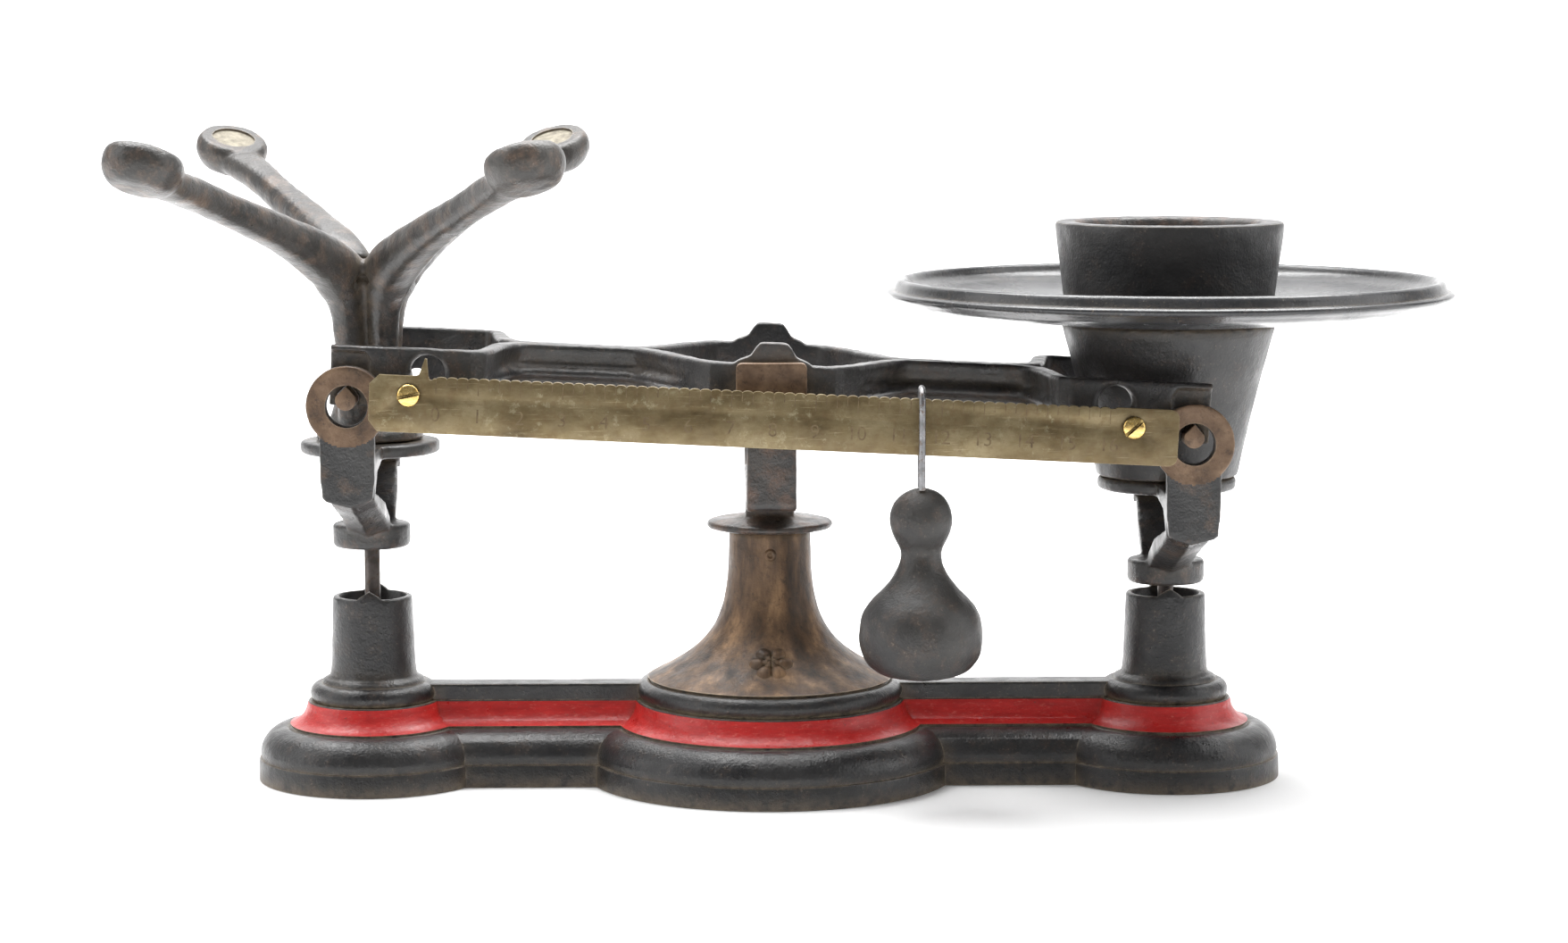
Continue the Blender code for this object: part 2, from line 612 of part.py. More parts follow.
def cone_support():
    apex_z = end_apex(1)[1]
    low = apex_z - PLATFORM_DROP + GAP
    profile = [
        (0.0, low + 46.0),
        (30.5, low + 46.0),
        (31.0, low + CONE_HEIGHT),
        (CONE_TOP_RADIUS - 0.6, low + CONE_HEIGHT),
        (CONE_TOP_RADIUS, low + CONE_HEIGHT - 1.2),
        (CONE_BOTTOM_RADIUS, low + 1.6),
        (CONE_BOTTOM_RADIUS - 1.4, low),
        (0.0, low),
    ]
    return add_object("cone_support", lathe(profile, 40, (PAN_AXIS_X, 0.0)), JAPAN, smooth=True)


def plate():
    low = end_apex(1)[1] - PLATFORM_DROP + CONE_HEIGHT + 2 * GAP
    profile = [
        (0.0, low + 2.0),
        (26.0, low + 2.0),
        (26.4, low - 3.0),
        (29.6, low - 3.0),
        (29.8, low),
        (46.0, low + 0.6),
        (88.0, low + 5.4),
        (PLATE_RADIUS - 0.8, low + 8.6),
        (PLATE_RADIUS, low + 10.0),
        (PLATE_RADIUS - 1.2, low + 11.4),
        (94.6, low + 12.4),
        (93.0, low + 14.8),
        (91.2, low + 14.6),
        (89.0, low + 11.0),
        (44.0, low + PLATE_FLOOR),
        (0.0, low + PLATE_FLOOR),
    ]
    return add_object("plate", lathe(profile, 48, (PAN_AXIS_X, 0.0)), JAPAN, smooth=True)


def weight_cup():
    low = end_apex(1)[1] - PLATFORM_DROP + CONE_HEIGHT + 3 * GAP + PLATE_FLOOR
    profile = [
        (0.0, low),
        (CUP_BOTTOM_RADIUS - 1.0, low),
        (CUP_BOTTOM_RADIUS, low + 1.0),
        (CUP_TOP_RADIUS, low + CUP_HEIGHT - 3.2),
        (CUP_TOP_RADIUS, low + CUP_HEIGHT - 0.8),
        (CUP_TOP_RADIUS - 1.0, low + CUP_HEIGHT),
        (33.0, low + CUP_HEIGHT),
        (31.6, low + CUP_HEIGHT - 1.2),
        (30.6, low + CUP_HEIGHT - 14.0),
        (0.0, low + CUP_HEIGHT - 14.0),
    ]
    return add_object("weight_cup", lathe(profile, 40, (PAN_AXIS_X, 0.0)), JAPAN, smooth=True)


def spider():
    """Four-armed carrier for the goods pan: a fluted stem that splits into arms, each with a round pad."""
    base_z = end_apex(-1)[1] - PLATFORM_DROP + GAP
    axis_x = -PAN_AXIS_X
    foot = [(0.0, base_z), (18.4, base_z), (19.0, base_z + 1.2), (17.2, base_z + 8.0)]
    waist = [(15.6, base_z + 30.0), (16.6, base_z + 50.0), (14.0, base_z + 62.0), (0.0, base_z + 68.0)]
    body = add_object("spider", lathe(foot + waist, 32, (axis_x, 0.0)), JAPAN, smooth=True)
    reach_x, reach_y, rise = SPIDER_PAD
    for index, (sx, sy) in enumerate(((-1, -1), (1, -1), (1, 1), (-1, 1))):
        start = Vector((axis_x + sx * 5.0, sy * 7.0, base_z + 52.0))
        knee = Vector((axis_x + sx * 17.0, sy * 28.0, base_z + 69.0))
        pad = Vector((axis_x + sx * reach_x, sy * reach_y, base_z + rise))
        seat = pad - pad_facing(sx, sy) * ARM_UNDER_PAD
        stations = [(start, 10.5), (knee, 7.4), (knee.lerp(seat, 0.55), 5.6), (knee.lerp(seat, 0.85), 5.6)]
        arm = tube_along([*stations, (seat, 5.0)])
        combine(body, add_object(f"spider_arm_{index}", arm), "UNION")
        combine(body, add_object(f"spider_pad_{index}", spider_pad(pad, sx, sy)), "UNION")
    return body


def pad_facing(sx, sy):
    """The way a pad's flat top faces: up, and in towards the middle of the spider."""
    inward = Vector((-sx * SPIDER_PAD[0], -sy * SPIDER_PAD[1], 0.0)).normalized()
    return inward * math.sin(PAD_TILT) + Vector((0.0, 0.0, math.cos(PAD_TILT)))


def spider_pad(place, sx, sy):
    """Round pad whose flat top faces up and in towards the middle, to seat a round-bottomed pan."""
    profile = [(0.0, -7.0), (9.5, -6.0), (13.0, -1.0), (13.4, 2.6), (11.6, PAD_TOP), (0.0, PAD_TOP)]
    disc = lathe(profile, 16)
    turn = Vector((0.0, 0.0, 1.0)).rotation_difference(pad_facing(sx, sy)).to_matrix()
    bmesh.ops.rotate(disc, matrix=turn, verts=disc.verts)
    bmesh.ops.translate(disc, vec=place, verts=disc.verts)
    return disc


def tube_along(stations, sides=10):
    """A round bar through (point, radius) stations, with flat ends."""
    bm = bmesh.new()
    rings = []
    for i, (point, radius) in enumerate(stations):
        before = stations[max(i - 1, 0)][0]
        after = stations[min(i + 1, len(stations) - 1)][0]
        along = (after - before).normalized()
        across = along.cross(Vector((0.0, 0.0, 1.0))).normalized()
        upward = across.cross(along)
        ring = []
        for step in range(sides):
            angle = 2 * math.pi * step / sides
            spoke = math.cos(angle) * across + math.sin(angle) * upward
            ring.append(bm.verts.new(point + radius * spoke))
        rings.append(ring)
    bm.faces.new(rings[0])
    bm.faces.new(list(reversed(rings[-1])))
    for low, high in zip(rings, rings[1:]):
        for i in range(sides):
            j = (i + 1) % sides
            bm.faces.new((low[j], low[i], high[i], high[j]))
    return bm


def poise_place():
    """The notch that the poise hangs in, in the tilted beam's place: its x and z in the world."""
    x = SCALE_ZERO_X + POISE_NOTCH * NOTCH_PITCH
    z = BAR_TOP - NOTCH_DEPTH
    world_x = x * math.cos(TILT) + z * math.sin(TILT)
    world_z = PIVOT_Z - x * math.sin(TILT) + z * math.cos(TILT)
    return world_x, world_z


def poise():
    """Pear-shaped weight under a flat bail that straddles the bar. Its feet enter the ball."""
    x, notch_z = poise_place()
    foot_z = notch_z - BAIL_LENGTH
    half_x = 1.1
    bend_z = notch_z - 1.0
    crown = arc((0.0, bend_z), (6.0, 6.0), 165, 15, 8)
    outer = [(-5.2, foot_z), (-6.0, bend_z), *crown, (6.0, bend_z), (5.2, foot_z)]
    inner = mirrored([(2.9, foot_z), (3.6, notch_z - 1.6), (1.8, notch_z + 0.6), (0.0, notch_z + 0.75)])
    outline = [(y + BAR_Y, z) for y, z in outer + inner]
    bail = add_object("poise_bail", prism(outline, x - half_x, x + half_x, "X"), WIRE)

    ball_z = foot_z - 9.0
    ball = arc((0.0, ball_z), (10.6, 10.4), 90, -36, 7)
    ball[0] = (0.0, ball[0][1])
    body = arc((0.0, ball_z - 37.0), (21.0, 16.5), 25, -62, 6)
    neck = [(7.2, ball_z - 9.6), (7.6, ball_z - 12.0), (10.2, ball_z - 19.0), (14.0, ball_z - 25.0)]
    profile = [*ball[:-1], *neck, *body, (8.6, ball_z - 54.0), (0.0, ball_z - 54.2)]
    weight = add_object("poise_weight", lathe(profile, 24, (x, BAR_Y)), JAPAN, smooth=True)
    for side in (-1, 1):
        low, high = sorted((side * 2.2, side * 6.0))
        reach = half_x + 1.0
        socket = block((x - reach, BAR_Y + low, foot_z - 0.6), (x + reach, BAR_Y + high, foot_z + 9.0))
        combine(weight, add_object(f"foot_socket_{side}", socket), "DIFFERENCE")
    return [bail, weight]


def hang_on(pivot, objects):
    for obj in objects:
        obj.parent = pivot


def main():
    clear_scene()
    base_casting()
    fulcrum_yoke()
    for side in (-1, 1):
        head_block(side)
    fulcrum_nut()
    link_pin()

    beam_pivot = bpy.data.objects.new("beam_pivot", None)
    beam_pivot.location = (0.0, 0.0, PIVOT_Z * MM)
    beam_pivot.rotation_euler = (0.0, TILT, 0.0)
    bpy.context.scene.collection.objects.link(beam_pivot)
    hang_on(beam_pivot, [beam_casting(beam_pivot), *knife_edges(), *graduated_bar()])
    hang_on(beam_pivot, bar_screw(-1, "left", math.radians(-15)))
    hang_on(beam_pivot, bar_screw(1, "right", math.radians(-45)))

    link_pivot = bpy.data.objects.new("link_pivot", None)
    link_pivot.location = (0.0, 0.0, LINK_Z * MM)
    link_pivot.rotation_euler = (0.0, TILT, 0.0)
    bpy.context.scene.collection.objects.link(link_pivot)
    hang_on(link_pivot, [check_link(link_pivot)])

    for end, name in ((-1, "left"), (1, "right")):
        hanger(end, name)
        ring_bearings(end, name)
        stem(end, name)
    spider()
    cone_support()
    plate()
    weight_cup()
    poise()


main()
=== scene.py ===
"""Looks for the antique cast-iron counter scale: detailed castings, worn paint, brass and a pale studio.

Meshes are made in millimetres and scaled to metres. Z is up, X runs along the beam and -Y is the front.
"""

import json
import math

import bmesh
import bpy
from mathutils import Matrix, Vector, noise


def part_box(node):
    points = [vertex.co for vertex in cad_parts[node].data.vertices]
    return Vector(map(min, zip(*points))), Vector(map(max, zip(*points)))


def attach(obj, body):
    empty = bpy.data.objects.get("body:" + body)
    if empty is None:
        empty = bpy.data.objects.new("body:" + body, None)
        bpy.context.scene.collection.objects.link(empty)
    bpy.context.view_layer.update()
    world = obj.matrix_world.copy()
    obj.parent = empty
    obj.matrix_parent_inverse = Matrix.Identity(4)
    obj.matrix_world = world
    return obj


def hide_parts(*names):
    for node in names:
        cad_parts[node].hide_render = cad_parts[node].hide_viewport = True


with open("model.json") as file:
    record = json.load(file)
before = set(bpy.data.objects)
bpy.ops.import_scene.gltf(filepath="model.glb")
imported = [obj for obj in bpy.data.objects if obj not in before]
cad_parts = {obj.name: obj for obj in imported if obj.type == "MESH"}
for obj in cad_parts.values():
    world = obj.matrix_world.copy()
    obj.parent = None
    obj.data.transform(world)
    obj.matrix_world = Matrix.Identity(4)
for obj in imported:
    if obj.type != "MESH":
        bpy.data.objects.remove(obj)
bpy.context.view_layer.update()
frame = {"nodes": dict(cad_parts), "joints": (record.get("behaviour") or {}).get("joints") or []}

MM = 0.001
BLACK, RED, BRONZE = 0, 1, 2

# Puts a flat outline's two coordinates and its depth in order, for a solid that runs along an axis.
ALONG = {"X": lambda a, b, c: (c, a, b), "Y": lambda a, b, c: (a, c, b), "Z": lambda a, b, c: (a, b, c)}


# ---------------------------------------------------------------- places, all from the frame

def low(node):
    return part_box(node)[0] * 1000


def high(node):
    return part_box(node)[1] * 1000


def middle(node):
    return (low(node) + high(node)) / 2


JOINTS = {joint["name"]: joint for joint in frame["joints"]}
LEFT_APEX = Vector(JOINTS["left_level"]["pos_m"]) * 1000
RIGHT_APEX = Vector(JOINTS["right_level"]["pos_m"]) * 1000
PIVOT = Vector(JOINTS["beam_tilt"]["pos_m"]) * 1000
TILT = math.atan2(LEFT_APEX.z - RIGHT_APEX.z, RIGHT_APEX.x - LEFT_APEX.x)
ARM = (RIGHT_APEX - LEFT_APEX).length / 2
PAN_X = middle("plate").x
APEX = {-1: LEFT_APEX, 1: RIGHT_APEX}
SIDE_NAME = {-1: "left", 1: "right"}
FACE_NAME = {-1: "front", 1: "rear"}
ON_BEAM = Matrix.Translation(PIVOT) @ Matrix.Rotation(TILT, 4, "Y")

# Beam, laid out level about its pivot and then tilted by ON_BEAM.
WALL_Y = 43.6
WALL_HALF = 2.5
BEAM_TOP = 13.2
BEAM_BOTTOM = -7.0
HUMP_TOP = 20.4
RAIL_END = 147.0

# Openings in the beam's walls: distance out along the beam, and height from its pivot.
WINDOW_AT = (114.8, 5.4)
NOTCH_AT = (125.0, -5.5)
NOTCH_RADIUS = 4.0

# Rings of the hangers, and their hardened liners.
RING_Y = 49.0
RING_THICK = 4.6
RING_RADIUS = 13.5
RING_HOLE = 7.1
LINER_RADIUS = 8.6
LINER_LIP = 1.4

# Graduated bar and its screws.
BAR_Y = middle("graduated_bar").y
BAR_THICK = 2.0
BAR_TOP = 5.6
BAR_BOTTOM = -13.1
BAR_LEFT = -132.2
BAR_RIGHT = 134.2
SCALE_ZERO_X = -110.4
NOTCH_PITCH = 3.465
NOTCHES = 64
BAR_SCREW_X = 119.3
BAR_SCREW_Z = -0.8
GAP = 0.35

# Pads of the spider: how far out and how high their centres are, and their lean towards the middle.
PAD_OUT = (60.0, 104.0)
PAD_RISE = 96.0
PAD_TILT = math.radians(24)
PAD_INSET = 7.8

# Ornaments on the front of the bell: height of the centre, and radius.
ROSETTE = (43.4, 8.0)
BOSS = (79.0, 2.4)

# Strength of the studio's lights.
WORLD_STRENGTH = 0.26
OVERHEAD_POWER = 50
SIDE_POWER = 10
BACKDROP_POWER = 95


# ---------------------------------------------------------------- mesh tools

def arc(centre, radii, start, end, steps):
    """Points on an ellipse from start to end, in degrees."""
    points = []
    for i in range(steps + 1):
        angle = math.radians(start + (end - start) * i / steps)
        points.append((centre[0] + radii[0] * math.cos(angle), centre[1] + radii[1] * math.sin(angle)))
    return points


def curve_through(points, steps):
    """A smooth line through the points, as a Catmull-Rom spline."""
    points = [Vector(p) for p in points]
    made = []
    for i in range(len(points) - 1):
        a = points[max(i - 1, 0)]
        b, c = points[i], points[i + 1]
        d = points[min(i + 2, len(points) - 1)]
        for step in range(steps):
            t = step / steps
            made.append(0.5 * (2 * b + (c - a) * t + (2 * a - 5 * b + 4 * c - d) * t ** 2
                               + (3 * b - a - 3 * c + d) * t ** 3))
    made.append(points[-1])
    return [tuple(p) for p in made]


def lathe(profile, segments, centre=(0.0, 0.0), paint=()):
    """Turns (radius, z) points round a vertical axis. paint: each band's (low, high, material index)."""
    bm = bmesh.new()
    rings = []
    for radius, z in profile:
        if radius < 1e-6:
            rings.append([bm.verts.new((centre[0], centre[1], z))])
            continue
        ring = []
        for i in range(segments):
            angle = 2 * math.pi * i / segments
            ring.append(bm.verts.new((centre[0] + radius * math.cos(angle),
                                      centre[1] + radius * math.sin(angle), z)))
        rings.append(ring)
    for index, (lower, upper) in enumerate(zip(rings, rings[1:])):
        for i in range(segments):
            j = (i + 1) % segments
            corners = [lower[i % len(lower)], lower[j % len(lower)], upper[j % len(upper)],
                       upper[i % len(upper)]]
            corners = list(dict.fromkeys(corners))
            if len(corners) > 2:
                face = bm.faces.new(corners)
                for first, last, slot in paint:
                    if first <= index < last:
                        face.material_index = slot
    return bm


def prism(outline, lo, hi, axis="Y", paint=()):
    """Extrudes a closed outline: (x, z) points on axis Y, (y, z) on X and (x, y) on Z."""
    place = ALONG[axis]
    bm = bmesh.new()
    near = [bm.verts.new(place(a, b, lo)) for a, b in outline]
    far = [bm.verts.new(place(a, b, hi)) for a, b in outline]
    bm.faces.new(near)
    bm.faces.new(list(reversed(far)))
    for i in range(len(outline)):
        j = (i + 1) % len(outline)
        face = bm.faces.new((near[j], near[i], far[i], far[j]))
        for first, last, slot in paint:
            if first <= i < last:
                face.material_index = slot
    return bm


def rod(radius, lo, hi, centre, axis="Z", segments=48):
    return prism(arc(centre, (radius, radius), 0, 360 - 360 / segments, segments - 1), lo, hi, axis)


def cone_rod(stations, centre, axis="Y", segments=48):
    """A round bar whose radius changes along its axis: stations are (place, radius)."""
    place = ALONG[axis]
    rings = []
    bm = bmesh.new()
    for at, radius in stations:
        ring = arc(centre, (radius, radius), 0, 360 - 360 / segments, segments - 1)
        rings.append([bm.verts.new(place(a, b, at)) for a, b in ring])
    return skin(bm, rings)


def skin(bm, rings):
    """Joins equal closed rings into one closed skin with flat ends."""
    bm.faces.new(rings[0])
    bm.faces.new(list(reversed(rings[-1])))
    for a, b in zip(rings, rings[1:]):
        for i in range(len(a)):
            j = (i + 1) % len(a)
            bm.faces.new((a[j], a[i], b[i], b[j]))
    return bm


def block(lo, hi):
    return prism([(lo[0], lo[2]), (hi[0], lo[2]), (hi[0], hi[2]), (lo[0], hi[2])], lo[1], hi[1])


def mirrored(points):
    return points + [(-a, b) for a, b in reversed(points) if abs(a) > 1e-9]


def loft(sections):
    """Joins equal closed sections, each a list of (x, y, z), into one skin."""
    bm = bmesh.new()
    return skin(bm, [[bm.verts.new(p) for p in section] for section in sections])


def tube(stations, sides=20, square=2.0, up=(0.0, 0.0, 1.0)):
    """A bar through (point, half width, half height) stations. square over 2 flattens its sides."""
    sections = []
    for i, (point, wide, tall) in enumerate(stations):
        before = Vector(stations[max(i - 1, 0)][0])
        after = Vector(stations[min(i + 1, len(stations) - 1)][0])
        along = (after - before).normalized()
        across = along.cross(Vector(up)).normalized()
        upward = across.cross(along)
        section = []
        for step in range(sides):
            angle = 2 * math.pi * step / sides
            c, s = math.cos(angle), math.sin(angle)
            c = math.copysign(abs(c) ** (2 / square), c)
            s = math.copysign(abs(s) ** (2 / square), s)
            section.append(Vector(point) + wide * c * across + tall * s * upward)
        sections.append(section)
    return loft(sections)


def temp(bm):
    """A closed solid in millimetres, as a temporary object."""
    bmesh.ops.recalc_face_normals(bm, faces=bm.faces)
    mesh = bpy.data.meshes.new("temp")
    bm.to_mesh(mesh)
    bm.free()
    obj = bpy.data.objects.new("temp", mesh)
    bpy.context.scene.collection.objects.link(obj)
    for name in ("slot_0", "slot_1", "slot_2"):
        mesh.materials.append(bpy.data.materials.get(name) or bpy.data.materials.new(name))
    return obj


def apply(obj):
    """Bakes the modifiers into the mesh."""
    graph = bpy.context.evaluated_depsgraph_get()
    graph.update()
    mesh = bpy.data.meshes.new_from_object(obj.evaluated_get(graph))
    old = obj.data
    obj.modifiers.clear()
    obj.data = mesh
    bpy.data.meshes.remove(old)
    return obj


def join(obj, bm, operation="UNION"):
    """Adds a solid to obj, or cuts it away."""
    tool = bm if isinstance(bm, bpy.types.Object) else temp(bm)
    modifier = obj.modifiers.new("join", "BOOLEAN")
    modifier.operation = operation
    modifier.solver = "EXACT"
    modifier.object = tool
    apply(obj)
    bpy.data.objects.remove(tool, do_unlink=True)
    return obj


def cut(obj, bm):
    return join(obj, bm, "DIFFERENCE")


def pour(obj, others, voxel, smooth):
    """Fuses closed solids into one casting with softened edges and filleted corners."""
    for bm in others:
        tool = bm if isinstance(bm, bpy.types.Object) else temp(bm)
        merged = bmesh.new()
        merged.from_mesh(obj.data)
        merged.from_mesh(tool.data)
        merged.to_mesh(obj.data)
        merged.free()
        bpy.data.objects.remove(tool, do_unlink=True)
    remesh = obj.modifiers.new("cast", "REMESH")
    remesh.mode = "VOXEL"
    remesh.voxel_size = voxel
    remesh.use_smooth_shade = True
    softer = obj.modifiers.new("soften", "SMOOTH")
    softer.factor = 0.5
    softer.iterations = smooth
    return apply(obj)


def bevelled(obj, width, segments=2, angle=32):
    modifier = obj.modifiers.new("bevel", "BEVEL")
    modifier.width = width
    modifier.segments = segments
    modifier.limit_method = "ANGLE"
    modifier.angle_limit = math.radians(angle)
    modifier.use_clamp_overlap = True
    return apply(obj)


def uneven(obj, amount, size, floor=None):
    """Gives a casting its faintly wavy skin. Nothing at the floor moves."""
    mesh = obj.data
    normals = [v.normal.copy() for v in mesh.vertices]
    for vert, normal in zip(mesh.vertices, normals):
        if floor is not None and vert.co.z < floor:
            continue
        wave = noise.noise(vert.co / size) + 0.5 * noise.noise(vert.co / (size * 0.37))
        vert.co += normal * amount * wave
    return obj


def piece(obj, name, body, nodes, materials, place=None, sharp=38):
    """Names the finished piece, scales it to metres, hangs it on the body it rides on and hides the CAD parts
    it stands for.
    """
    if place is not None:
        obj.data.transform(place)
    obj.data.transform(Matrix.Scale(MM, 4))
    obj.name = name
    obj.data.name = name
    if not isinstance(materials, (list, tuple)):
        materials = [materials]
    last = len(materials) - 1
    painted = [min(polygon.material_index, last) for polygon in obj.data.polygons]
    obj.data.materials.clear()
    for material in materials:
        obj.data.materials.append(material)
    obj.data.polygons.foreach_set("material_index", painted)
    obj.data.shade_smooth()
    obj.data.set_sharp_from_angle(angle=math.radians(sharp))
    obj.data.update()
    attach(obj, body)
    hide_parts(*nodes)
    return obj


# ---------------------------------------------------------------- materials

class Look:
    """A procedural material. Its patterns are laid out in the piece's own metres."""

    def __init__(self, name):
        self.material = bpy.data.materials.new(name)
        self.material.use_nodes = True
        self.nodes = self.material.node_tree.nodes
        self.links = self.material.node_tree.links
        self.shader = self.nodes["Principled BSDF"]
        self.place = self.nodes.new("ShaderNodeTexCoord").outputs["Object"]

    def node(self, kind, inputs=(), **settings):
        made = self.nodes.new(kind)
        for key, value in settings.items():
            setattr(made, key, value)
        for key, value in dict(inputs).items():
            self.feed(made.inputs[key], value)
        return made

    def feed(self, socket, value):
        if isinstance(value, bpy.types.NodeSocket):
            self.links.new(value, socket)
        elif isinstance(value, tuple) and len(value) == 3 and len(getattr(socket, "default_value",
                                                                          ())) == 4:
            socket.default_value = (*value, 1.0)
        else:
            socket.default_value = value

    def spot(self, stretch=(1.0, 1.0, 1.0), shift=(0.0, 0.0, 0.0)):
        return self.node("ShaderNodeMapping", {"Vector": self.place, "Scale": stretch,
                                               "Location": shift}).outputs[0]

    def noise(self, size, detail=4.0, rough=0.55, stretch=(1, 1, 1), shift=(0, 0, 0), twist=0.0):
        """Cloudy values whose features are about size millimetres across."""
        inputs = {"Vector": self.spot(stretch, shift), "Scale": 1000.0 / size, "Detail": detail,
                  "Roughness": rough, "Distortion": twist}
        return self.node("ShaderNodeTexNoise", inputs).outputs["Fac"]

    def cells(self, size, feature="F1", shift=(0, 0, 0)):
        inputs = {"Vector": self.spot(shift=shift), "Scale": 1000.0 / size}
        return self.node("ShaderNodeTexVoronoi", inputs, feature=feature).outputs["Distance"]

    def fit(self, value, lo, hi, out_lo=0.0, out_hi=1.0):
        inputs = {"Value": value, "From Min": lo, "From Max": hi, "To Min": out_lo, "To Max": out_hi}
        return self.node("ShaderNodeMapRange", inputs, clamp=True).outputs["Result"]

    def maths(self, operation, a, b=0.0):
        return self.node("ShaderNodeMath", {0: a, 1: b}, operation=operation, use_clamp=False).outputs[0]

    def mix(self, share, a, b, mode="MIX"):
        made = self.nodes.new("ShaderNodeMix")
        made.data_type = "RGBA"
        made.blend_type = mode
        self.feed(made.inputs[0], share)
        self.feed(made.inputs[6], a)
        self.feed(made.inputs[7], b)
        return made.outputs[2]

    def ramp(self, value, stops):
        made = self.nodes.new("ShaderNodeValToRGB")
        self.links.new(value, made.inputs[0])
        elements = made.color_ramp.elements
        while len(elements) < len(stops):
            elements.new(0.5)
        for element, (at, colour) in zip(elements, stops):
            element.position = at
            element.color = (*colour, 1.0)
        return made.outputs[0]

    def edges(self, radius, lo=0.02, hi=0.16):
        """1 on the edges and creases of the mesh, 0 on its flats."""
        soft = self.node("ShaderNodeBevel", {"Radius": radius * MM}, samples=6).outputs[0]
        own = self.node("ShaderNodeNewGeometry").outputs["Normal"]
        dot = self.node("ShaderNodeVectorMath", {0: soft, 1: own}, operation="DOT_PRODUCT").outputs["Value"]
        return self.fit(self.maths("SUBTRACT", 1.0, dot), lo, hi)

    def nooks(self, distance, lo=0.35, hi=0.95):
        """1 deep in a corner, 0 in the open."""
        open_air = self.node("ShaderNodeAmbientOcclusion", {"Distance": distance * MM},
                             samples=6).outputs["AO"]
        return self.fit(open_air, hi, lo)

    def bump(self, value, depth, under=None, strength=1.0):
        made = self.node("ShaderNodeBump", {"Height": value, "Distance": depth * MM, "Strength": strength})
        if under is not None:
            self.links.new(under, made.inputs["Normal"])
        return made.outputs[0]

    def done(self, colour, roughness, normal, metallic=0.0, specular=0.5, coat=0.0, coat_roughness=0.2):
        self.feed(self.shader.inputs["Base Color"], colour)
        self.feed(self.shader.inputs["Roughness"], roughness)
        self.feed(self.shader.inputs["Normal"], normal)
        self.feed(self.shader.inputs["Metallic"], metallic)
        self.shader.inputs["Specular IOR Level"].default_value = specular
        self.shader.inputs["Coat Weight"].default_value = coat
        self.shader.inputs["Coat Roughness"].default_value = coat_roughness
        return self.material


def both(look, *masks):
    """The masks multiplied together."""
    value = masks[0]
    for mask in masks[1:]:
        value = look.maths("MULTIPLY", value, mask)
    return value


def iron(name, dark, light, rust, rusty=0.3, dusty=0.75, gloss=(0.25, 0.46), grain=0.20,
         edge=(0.30, 0.25, 0.19),
         rolling=0.42):
    """Black japanned cast iron: grainy, brown where hands wore it, pale edges and dusty corners."""
    look = Look(name)
    clouds = look.noise(26, 5, 0.6)
    blotch = look.noise(7, 5, 0.65, shift=(3.1, 0.7, 1.9))
    sand = look.noise(0.9, 3, 0.6)
    pits = look.cells(2.3, shift=(0.4, 1.3, 0.2))
    colour = look.mix(look.fit(clouds, 0.35, 0.68), dark, light)
    rust_mask = both(look, look.fit(blotch, 0.62 - 0.3 * rusty, 0.80 - 0.2 * rusty),
                     look.fit(sand, 0.3, 0.6, 0.35, 1.0))
    colour = look.mix(look.maths("MULTIPLY", rust_mask, min(1.0, 0.35 + rusty)), colour, rust)
    speck = both(look, look.fit(sand, 0.60, 0.74), look.fit(blotch, 0.42, 0.62))
    colour = look.mix(look.maths("MULTIPLY", speck, 0.35), colour, edge)
    worn = both(look, look.edges(1.0), look.fit(look.noise(3.2, 4, 0.7, shift=(1, 2, 3)), 0.36, 0.60))
    colour = look.mix(look.maths("MULTIPLY", worn, 0.85), colour, edge)
    dust_and_shade = both(look, look.nooks(6.5), look.fit(look.noise(4.5, 5, 0.7, shift=(5, 1, 2)), 0.30, 0.56))
    colour = look.mix(look.maths("MULTIPLY", dust_and_shade, dusty), colour, (0.24, 0.185, 0.125))
    rough = look.fit(look.noise(9, 4, 0.6, shift=(2, 2, 0)), 0.3, 0.7, *gloss)
    rough = look.maths("ADD", rough, look.maths("MULTIPLY", dust_and_shade, 0.22))
    normal = look.bump(look.noise(5.5, 4, 0.6, shift=(7, 0, 3)), rolling)
    normal = look.bump(sand, grain, normal)
    normal = look.bump(look.fit(pits, 0.0, 0.22), 0.10, normal, 0.5)
    return look.done(colour, rough, normal, specular=0.55)


def red_paint():
    """Bright red line paint on rough iron, scratched through in places and dulled by dust."""
    look = Look("red_line_paint")
    stripes = look.noise(9, 6, 0.68, stretch=(1.0, 1.0, 6.0))
    colour = look.mix(look.fit(stripes, 0.30, 0.70), (0.33, 0.008, 0.007), (0.52, 0.020, 0.017))
    pale = look.fit(look.noise(2.4, 5, 0.75, stretch=(1, 1, 3.0), shift=(3, 1, 0)), 0.56, 0.70)
    colour = look.mix(look.maths("MULTIPLY", pale, 0.45), colour, (0.70, 0.19, 0.15))
    chips = look.fit(look.noise(1.7, 5, 0.72, shift=(9, 2, 4)), 0.655, 0.70)
    colour = look.mix(chips, colour, (0.030, 0.020, 0.018))
    grime = both(look, look.nooks(4.0, 0.3, 0.9), look.fit(look.noise(6, 5, 0.7, shift=(1, 6, 2)), 0.32,
                                                           0.60))
    colour = look.mix(look.maths("MULTIPLY", grime, 0.55), colour, (0.16, 0.085, 0.06))
    rough = look.fit(look.noise(5, 4, 0.6), 0.3, 0.7, 0.26, 0.46)
    normal = look.bump(look.noise(5.0, 4, 0.6, shift=(7, 0, 3)), 0.30)
    normal = look.bump(look.noise(1.3, 4, 0.65), 0.16, normal)
    normal = look.bump(chips, -0.05, normal)
    return look.done(colour, rough, normal, specular=0.5)


